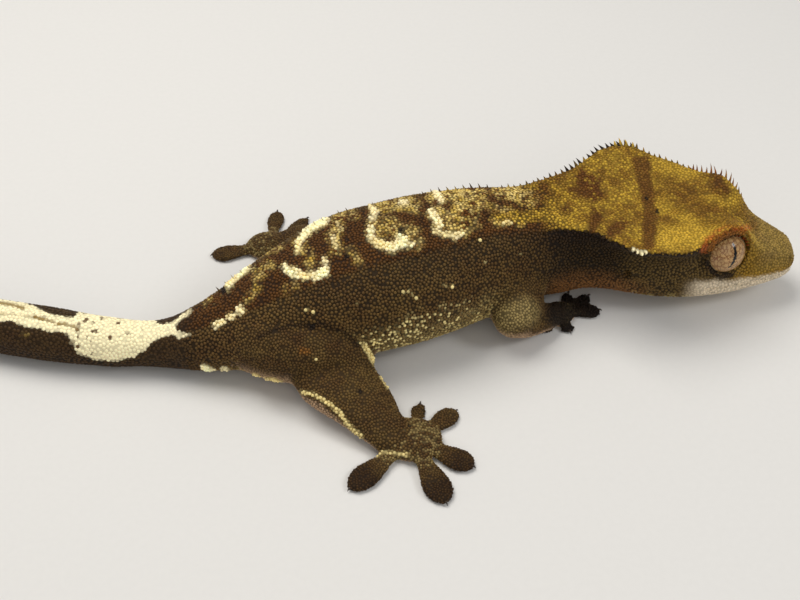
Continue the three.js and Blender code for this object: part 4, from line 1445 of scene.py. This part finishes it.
class Beads:
    """Gathers small closed forms and turns them into coat pieces."""

    def __init__(self) -> None:
        """Start with nothing."""
        self.points: list[np.ndarray] = []
        self.faces: list[np.ndarray] = []
        self.tones: list[np.ndarray] = []
        self.rises: list[np.ndarray] = []
        self.places: list[np.ndarray] = []
        self.count = 0

    @staticmethod
    def template(rings: list[tuple], sides: int) -> tuple[np.ndarray, np.ndarray, np.ndarray]:
        """A closed form of rings and a tip.

        Args:
            rings: Radius and height of each ring, then (0, height) for the tip.
            sides: Points in each ring.

        Returns:
            Points, faces and how high each point rises, 0 to 1.
        """
        angle = np.linspace(0, 2 * np.pi, sides, endpoint=False)
        points, high = [], []
        for radius, height in rings[:-1]:
            points.append(np.stack([radius * np.cos(angle), radius * np.sin(angle),
                                    np.full(sides, height)], 1))
            high += [height] * sides
        tip = rings[-1][1]
        points.append(np.array([[0, 0, tip], [0, 0, rings[0][1]]]))
        high += [tip, rings[0][1]]
        faces = []
        for r in range(len(rings) - 2):
            for i in range(sides):
                j = (i + 1) % sides
                a, b = r * sides + i, r * sides + j
                faces += [[a, b, b + sides], [a, b + sides, a + sides]]
        last, top = (len(rings) - 2) * sides, (len(rings) - 1) * sides
        for i in range(sides):
            j = (i + 1) % sides
            faces += [[last + i, last + j, top], [j, i, top + 1]]
        return np.vstack(points), np.array(faces), np.clip(np.array(high) / tip, 0, 1)

    def add(self, form: tuple, roots: np.ndarray, ups: np.ndarray, wide: np.ndarray,
            tall: np.ndarray, tones: np.ndarray, places: np.ndarray, tips: np.ndarray | None = None,
            bend: np.ndarray | None = None, spin: np.ndarray | None = None) -> None:
        """Set many copies of a form on the skin.

        Args:
            form: A template.
            roots: Where each stands, on the plan.
            ups: Which way each points.
            wide: Radius of each.
            tall: Height of each.
            tones: Colour of each.
            places: Place of each on the unwrap.
            tips: Colour at the tip, where it differs.
            bend: How far each tip leans sideways, as a direction times a length.
            spin: Turn of each about its own line.
        """
        base, faces, high = form
        n, m = len(roots), len(base)
        if n == 0:
            return
        rng = np.random.default_rng(7 + self.count)
        spin = rng.uniform(0, 2 * np.pi, n) if spin is None else spin
        guide = np.where(np.abs(ups[:, 2:3]) > 0.9, [[1.0, 0, 0]], [[0, 0, 1.0]])
        one = unit(np.cross(ups, guide))
        two = np.cross(ups, one)
        c, s = np.cos(spin)[:, None], np.sin(spin)[:, None]
        one, two = one * c + two * s, two * c - one * s
        local = base[None] * np.stack([wide, wide, tall], 1)[:, None]
        rows = roots[:, None] + local[..., :1] * one[:, None] + local[..., 1:2] * two[:, None]
        rows = rows + local[..., 2:] * ups[:, None]
        if bend is not None:
            rows = rows + bend[:, None] * (high[None, :, None] ** 2)
        rows[..., 2] = np.maximum(rows[..., 2], 0.0)
        self.points.append(rows.reshape(-1, 3))
        self.faces.append((faces[None] + (np.arange(n) * m)[:, None, None]).reshape(-1, 3)
                          + self.count)
        end = tones if tips is None else tips
        share = high[None, :, None] ** 1.6
        shade = tones[:, None] * (1 - share) + end[:, None] * share
        self.tones.append(shade.reshape(-1, 3))
        self.rises.append(np.tile(high, n))
        flat = places[:, None] + base[None, :, :2] * 0.0015
        self.places.append(flat.reshape(-1, 2))
        self.count += n * m

    def pieces(self, name: str, finish: bpy.types.Material, most: int = 190000) -> list:
        """Make the coat pieces, each under a number of triangles."""
        points, faces = np.vstack(self.points), np.vstack(self.faces)
        tones, rises = np.vstack(self.tones), np.concatenate(self.rises)
        places = np.vstack(self.places)
        made, start, number = [], 0, 1
        while start < len(faces):
            end = min(start + most, len(faces))
            while end < len(faces) and faces[end].min() <= faces[start:end].max():
                end -= 1
            part = faces[start:end]
            low, high = part.min(), part.max() + 1
            piece = new_object(f"{name}_{number}", points[low:high], part - low)
            set_colour(piece.data, "tone", tones[low:high])
            set_value(piece.data, "rise", rises[low:high])
            set_map(piece.data, places[low:high])
            smooth_faces(piece.data)
            piece.data.materials.append(finish)
            made.append(piece)
            start, number = end, number + 1
        return made


@dataclass
class Coat:
    """Granular scales over all the skin, and the larger forms that stand out of it."""

    plan: Plan
    skin: Skin
    atlas: Atlas
    markings: Markings
    rounds: int = 4
    sunk: float = 0.4
    beads: Beads = field(default_factory=Beads)

    def spacing(self, w: Where) -> np.ndarray:
        """Distance between neighbouring scales in millimetres."""
        gap = np.full(len(w.points), 0.57)
        on = w.trunk
        head = on & (w.t < 11.5)
        gap[head] = 0.55 - 0.12 * step(w.t[head], 5.0, 1.0)
        under = on & (w.aside > 4.1)
        gap[under] = 0.85
        gap[~on] = 0.5
        gap[w.region == Region.TOE.value] = 0.44
        gap[on & (w.t > 21)] = 0.62
        return gap

    def scatter(self) -> tuple[np.ndarray, np.ndarray]:
        """Spread scale roots over the skin.

        Returns:
            Roots on the plan and the spacing at each.
        """
        mesh = self.skin.piece.data
        mesh.calc_loop_triangles()
        tri = np.empty(len(mesh.loop_triangles) * 3, np.int32)
        mesh.loop_triangles.foreach_get("vertices", tri)
        tri = tri.reshape(-1, 3)
        p, gap = self.skin.where.points, self.spacing(self.skin.where)
        a, b, c = (p[tri[:, i]] for i in range(3))
        weight = np.linalg.norm(np.cross(b - a, c - a), axis=1) / 2 / gap[tri[:, 0]] ** 2
        rng = np.random.default_rng(20)
        total = int(weight.sum() * 4.2)
        pick = rng.choice(len(tri), total, p=weight / weight.sum())
        u, v = rng.random(total), rng.random(total)
        flip = u + v > 1
        u[flip], v[flip] = 1 - u[flip], 1 - v[flip]
        root = a[pick] + (b - a)[pick] * u[:, None] + (c - a)[pick] * v[:, None]
        spread = gap[tri[pick, 0]]
        keep, cells = [], {}
        keys = np.floor(root / 0.8).astype(int).tolist()
        rows, limit = root.tolist(), ((spread * 0.8) ** 2).tolist()
        around = [(i, j, k) for i in (-1, 0, 1) for j in (-1, 0, 1) for k in (-1, 0, 1)]
        for i, ((x, y, z), (qx, qy, qz), far) in enumerate(zip(keys, rows, limit)):
            if all((ox - qx) ** 2 + (oy - qy) ** 2 + (oz - qz) ** 2 >= far
                   for dx, dy, dz in around
                   for ox, oy, oz in cells.get((x + dx, y + dy, z + dz), ())):
                cells.setdefault((x, y, z), []).append((qx, qy, qz))
                keep.append(i)
        return root[keep], spread[keep]

    def settle(self, roots: np.ndarray, gap: np.ndarray) -> tuple[np.ndarray, np.ndarray]:
        """Push neighbouring scales apart until they lie in even rows.

        Args:
            roots: Roots on the plan.
            gap: Spacing wanted at each.

        Returns:
            The evened roots and their outward directions.
        """
        tree = BVHTree.FromObject(self.skin.piece, bpy.context.evaluated_depsgraph_get())
        ups = np.zeros_like(roots)
        for _ in range(self.rounds):
            near = KDTree(len(roots))
            for i, root in enumerate(roots):
                near.insert(root, i)
            near.balance()
            beside = np.array([[found[1] for found in near.find_n(root, 7)[1:]] for root in roots])
            away = roots[:, None] - roots[beside]
            far = np.maximum(np.linalg.norm(away, axis=2, keepdims=True), 1e-6)
            push = np.clip(gap[:, None, None] * 1.02 - far, -0.02, None) * away / far
            roots = roots + push.sum(1) * 0.3
            for i, root in enumerate(self.plan.metres(roots)):
                place, normal, _, _ = tree.find_nearest(root)
                roots[i], ups[i] = place, normal
            roots = self.plan.millimetres(roots)
        return roots, unit(ups)

    def scales(self) -> None:
        """Set the granular scales."""
        roots, gap = self.scatter()
        roots, ups = self.settle(roots, gap)
        clear = np.ones(len(roots), bool)
        for side in (-1, 1):
            away = roots - Head.eye_centre(side)
            far = np.linalg.norm(away, axis=1)
            clear &= far > Head.eye_radius + 0.1
        clear &= roots[:, 2] > 0.12
        line = Head.mouth()
        rows = np.where(roots[:, 0] > 46)[0]
        near = np.sqrt(((roots[rows][:, None] - line[None, ::3]) ** 2).sum(2)).min(1)
        clear[rows[near < 0.26]] = False
        roots, ups, gap = roots[clear], ups[clear], gap[clear]
        w = self.atlas.where(roots, ups)
        rng = np.random.default_rng(3)
        raised, even = self.markings.raised(w), self.markings.even(w)
        tone = self.markings.colour(w) * (1 + rng.uniform(-0.2, 0.22, len(roots)) * (1 - 0.8 * even))[:, None]
        head = np.where(w.trunk, step(w.t, 12.5, 10.5) * step(w.aside, 2.4, 1.6), 0.0)
        head = np.maximum(head, np.where(w.trunk, step(w.t, 5.4, 3.6), 0.0))
        wide = gap * 0.5 * rng.uniform(0.94, 1.06, len(roots))
        wide *= 1.12 + 0.26 * raised + 0.04 * np.maximum(head, even)
        smooth = np.where(w.trunk & (w.t > 20.4), 0.45, 1.0) * (1 - 0.3 * head) * (1 - 0.3 * even)
        tall = wide * rng.uniform(0.55, 0.8, len(roots)) * (1 + 1.1 * raised) * smooth
        ups = unit(ups + rng.normal(0, 0.05, ups.shape))
        form = Beads.template([(1.0, -0.4), (0.84, 0.5), (0, 1.0)], 6)
        self.beads.add(form, roots, ups, wide, tall, np.clip(tone, 0, 0.95), w.unwrap())
        LOG.info("scales %d", len(roots))

    def row(self, side: int, t0: float, t1: float, spacing: float,
            length: Callable[[float], float], radius: float, seed: int, tip: np.ndarray) -> None:
        """Set a row of spines down one rim.

        Args:
            side: 1 for the left rim and -1 for the right.
            t0: Where the row starts.
            t1: Where it ends.
            spacing: Millimetres between spines.
            length: Gives a spine's length from its share of the row.
            radius: Radius at the foot.
            seed: Picks the row's own unevenness.
            tip: Colour of the tips.
        """
        draw = numbers(seed)
        rim = 1.0 if side > 0 else 9.0
        rows, t = [], t0
        while t < t1:
            here, ahead = Trunk.point(np.array([t, t + 0.1]), np.array([rim, rim]))
            size = length((t - t0) / (t1 - t0)) * (0.8 + 0.4 * next(draw))
            lean = np.array([0.5 * next(draw) - 0.4, side * 0.3, 0.5 * next(draw)])
            k = rim + side * (0.16 * next(draw) - 0.02)
            rows.append((t, k, size, unit(Trunk.normal(t, k) + lean)))
            t += spacing * (0.85 + 0.3 * next(draw)) / (np.linalg.norm(here - ahead) / 0.1)
        ts, ks, size = (np.array([r[n] for r in rows]) for n in range(3))
        self.spines(Trunk.point(ts, ks), np.array([r[3] for r in rows]), size, radius, tip)

    def spines(self, roots: np.ndarray, ups: np.ndarray, size: np.ndarray, radius: float,
               tip: np.ndarray, foot: np.ndarray | None = None) -> None:
        """Set spines that bend a little towards the tail.

        Args:
            roots: Where they stand.
            ups: Which way they point.
            size: Their lengths.
            radius: Radius at the foot.
            tip: Colour of the tips.
            foot: Colour of the feet, where it isn't the skin's.
        """
        w = self.atlas.where(roots, ups)
        tone = self.markings.colour(w) if foot is None else np.tile(foot, (len(roots), 1))
        form = Beads.template([(1.3, -0.3), (1.0, 0.1), (0.66, 0.38), (0.34, 0.7), (0, 1.0)], 7)
        bend = np.tile([-0.22, 0, 0.04], (len(roots), 1)) * size[:, None]
        self.beads.add(form, roots - ups * self.sunk, ups, np.full(len(roots), radius), size, tone, w.unwrap(),
                       tips=np.tile(tip, (len(roots), 1)), bend=bend)

    def rows(self) -> None:
        """Set the crests, the lashes over the eyes and the body's rows of tubercles."""
        dark, rust = Markings.umber * 0.8, Markings.rust
        for side in (-1, 1):
            lash = rust * 0.6 if side < 0 else Markings.brown * 0.9
            self.row(side, 4.8, 7.3, 0.95, lambda s: 1 + 1.2 * math.sin(math.pi * s), 0.24,
                     31 + side, lash)
            self.row(side, 7.45, 9.5, 1.1, lambda s: 0.8, 0.28, 41 + side, Markings.brass)
            self.row(side, 9.6, 14.3, 1.2, lambda s: 1.3 - 0.3 * s, 0.36, 51 + side, dark)
            plain = Markings.ground if side < 0 else dark
            high = 0.85 if side < 0 else 1.2
            self.row(side, 14.5, 19.6, 1.6, lambda s: high, 0.3, 61 + side, plain)
            self.fringe(side)
            t = np.array([9.74, 9.97, 10.2, 10.42])
            k = 5 - side * np.array([4.0, 3.94, 3.97, 4.0])
            ups = np.array([unit(Trunk.normal(a, b) + [0, side * 0.6, -0.3]) for a, b in zip(t, k)])
            pale = Markings.cream if side < 0 else Markings.gold
            self.spines(Trunk.point(t, k), ups, np.array([1.2, 1.5, 1.7, 1.2]), 0.42, pale, pale * 0.8)

    def fringe(self, side: int) -> None:
        """Set the short lashes round an eye, rust above and dark below."""
        look = Head.look(side)
        level = unit(np.cross([0, 0, 1], look))
        up = np.cross(look, level)
        rng = np.random.default_rng(40 + side)
        angle = np.linspace(0.1, 2 * math.pi, 34, endpoint=False) + rng.normal(0, 0.03, 34)
        out = level * np.cos(angle)[:, None] + up * np.sin(angle)[:, None]
        roots = Head.eye_centre(side) + look * 2.1 + out * 4.5 + look * 0.35
        high = step(np.sin(angle), -0.1, 0.5)
        ups = unit(out + look * 0.5 + rng.normal(0, 0.15, roots.shape))
        upper = high > 0.5
        size = rng.uniform(1.0, 1.7, 34) * (0.4 + 0.6 * high)
        self.spines(roots[upper], ups[upper], size[upper], 0.15, Markings.rust * 0.8, Markings.rust)
        self.spines(roots[~upper], ups[~upper], size[~upper], 0.17, Markings.umber,
                    Markings.brown)

    def build(self, finish: bpy.types.Material) -> list:
        """Make all the coat's pieces."""
        self.scales()
        self.rows()
        self.beads.points = [self.plan.metres(p) for p in self.beads.points]
        return self.beads.pieces("scales", finish)


@dataclass
class Eye:
    """An eyeball with its own coordinates for the iris."""

    plan: Plan
    side: int

    def build(self, finish: bpy.types.Material) -> bpy.types.Object:
        """Make the eyeball."""
        bpy.ops.object.select_all(action="DESELECT")
        bpy.ops.mesh.primitive_uv_sphere_add(segments=144, ring_count=96, radius=1.0)
        made = bpy.context.object
        made.name = made.data.name = "eyeball_" + ("right" if self.side < 0 else "left")
        mesh = made.data
        local = points_of(mesh)
        look = Head.look(self.side)
        level = unit(np.cross([0, 0, 1], look))
        up = np.cross(look, level)
        bulge = 1 + 0.03 * step(local[:, 2], 0.4, 1.0)
        sized = local * (Head.eye_radius - 0.05) * bulge[:, None]
        world = Head.eye_centre(self.side) + sized @ np.stack([level, up, look])
        mesh.vertices.foreach_set("co", self.plan.metres(world).astype(np.float32).ravel())
        mesh.update()
        gaze = mesh.attributes.new("gaze", "FLOAT_VECTOR", "POINT")
        gaze.data.foreach_set("vector", local.astype(np.float32).ravel())
        x, y = -self.side * local[:, 0], local[:, 1]
        front = local[:, 2] > 0
        wave = 0.014 * np.sin(y * 30) + 0.01 * np.sin(y * 53 + 1)
        above = (y - 0.115) / 0.575
        half = 0.07 * np.sqrt(np.clip(1 - above**2, 0, 1)) + wave * (np.abs(above) < 0.9)
        curve = 0.09 - 0.4 * (y - 0.35) ** 2
        slit = step(np.abs(x - curve) - half, 0.012, -0.012) * (np.abs(above) < 1) * front
        set_value(mesh, "pupil", slit)
        out = np.hypot(x, y - 0.02)
        set_value(mesh, "rim", np.where(front, 0.7 * step(out, 0.83, 0.87), 0.7))
        smooth_faces(mesh)
        mesh.materials.append(finish)
        return made


@dataclass
class Claws:
    """A small curved claw at the end of every toe."""

    plan: Plan

    def build(self, finish: bpy.types.Material) -> bpy.types.Object:
        """Make all the claws as one piece."""
        points, faces, count = [], [], 0
        for limb in LEGS.values():
            x, y = limb.palm[:2]
            for tip_x, tip_y, pad in limb.toes:
                away = unit(np.array([tip_x - x, tip_y - y, 0.0]))
                start = np.array([tip_x, tip_y, 0.5]) - away * 0.5
                rows = []
                for share in np.linspace(0, 1, 7):
                    height = 0.35 * math.sin(math.pi * share * 0.8) - 0.42 * share**2
                    place = start + away * 0.85 * share + [0, 0, height]
                    size = 0.2 * (1 - share) ** 0.7 + 0.03
                    rows.append([*place, size, size * 1.2])
                p, f = loft(Limb.tube(np.array(rows), 9, 8, domed=False))
                points.append(p)
                faces.append(f + count)
                count += len(p)
        made = new_object("claws", self.plan.metres(np.vstack(points)), np.vstack(faces))
        smooth_faces(made.data)
        made.data.materials.append(finish)
        return made


# ---------------------------------------------------------------- studio


@dataclass
class Studio:
    """A pale floor, soft lights and the camera."""

    plan: Plan

    def build(self) -> None:
        """Set out the studio."""
        bpy.ops.object.select_all(action="DESELECT")
        bpy.ops.mesh.primitive_plane_add(size=3.0)
        floor = bpy.context.object
        floor.name = floor.data.name = "studio_floor"
        floor.data.materials.append(plain_finish("pale_floor", (226, 224, 220), 0.85, 0.02))
        self.light("key", (-0.12, 0.12, 0.42), 0.3, 1.5, (1.0, 0.97, 0.92))
        self.light("front", (0.1, -0.42, 0.34), 0.5, 0.55, (1.0, 0.96, 0.9))
        self.light("glint", (0.39, -0.12, 0.36), 0.14, 0.55, (0.97, 0.98, 1.0))
        world = bpy.context.scene.world or bpy.data.worlds.new("studio_air")
        bpy.context.scene.world = world
        world.use_nodes = True
        world.node_tree.nodes["Background"].inputs[0].default_value = (0.9, 0.92, 0.95, 1)
        world.node_tree.nodes["Background"].inputs[1].default_value = 0.3
        self.camera()

    @staticmethod
    def light(name: str, place: tuple, size: float, power: float, colour: tuple) -> None:
        """Hang one square soft light that shines on the animal."""
        lamp = bpy.data.lights.new(name, "AREA")
        lamp.size, lamp.energy, lamp.color = size, power, colour
        made = bpy.data.objects.new(name, lamp)
        made.location = place
        made.rotation_euler = (Vector((0.03, 0, 0.01)) - made.location).to_track_quat("-Z", "Y").to_euler()
        bpy.context.scene.collection.objects.link(made)

    def camera(self) -> None:
        """Stand the camera where the photograph was taken."""
        lens = bpy.data.cameras.new("camera")
        lens.sensor_width, lens.lens = 36.0, 54.0
        lens.clip_start, lens.clip_end = 0.01, 20.0
        made = bpy.data.objects.new("camera", lens)
        eye = self.plan.metres(np.array([0.0, -154.149, 162.149]))
        made.location = eye
        made.rotation_euler = (math.radians(45), 0, 0)
        bpy.context.scene.collection.objects.link(made)
        bpy.context.scene.camera = made


def main() -> None:
    """Build the gecko piece by piece and set it in the studio."""
    logging.basicConfig(level=logging.INFO, format="%(name)s: %(message)s")
    plan = Plan()
    Studio(plan).build()
    atlas, markings = Atlas(), Markings()
    group = grain_group()
    skin_finish = ScalyFinish("skin_between_scales", 0.7, 9000.0, 0.00008, 0.0, 0.2).make(group)
    # The scales' finish paints a highlight on their tops and shade at their feet.
    scale_finish = ScalyFinish("scale_horn", 0.5, 14000.0, 0.00004, 0.42, 0.12).make(group)
    skin = Skin(plan, atlas, markings)
    body = skin.build(skin_finish)
    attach(body, "root")
    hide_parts(*FLESH)
    LOG.info("skin %d points", len(body.data.vertices))
    for piece in Coat(plan, skin, atlas, markings).build(scale_finish):
        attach(piece, "root")
        LOG.info("%s %d triangles", piece.name, len(piece.data.polygons))
    iris = EyeFinish().make()
    for side, name in ((-1, "eye_right"), (1, "eye_left")):
        ball = Eye(plan, side).build(iris)
        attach(ball, "root")
        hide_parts(name)
    claws = Claws(plan).build(plain_finish("claw_horn", (58, 46, 36), 0.35, 0.2))
    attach(claws, "root")
    bpy.context.scene.view_settings.view_transform = "Standard"


if __name__ == "__main__":
    main()
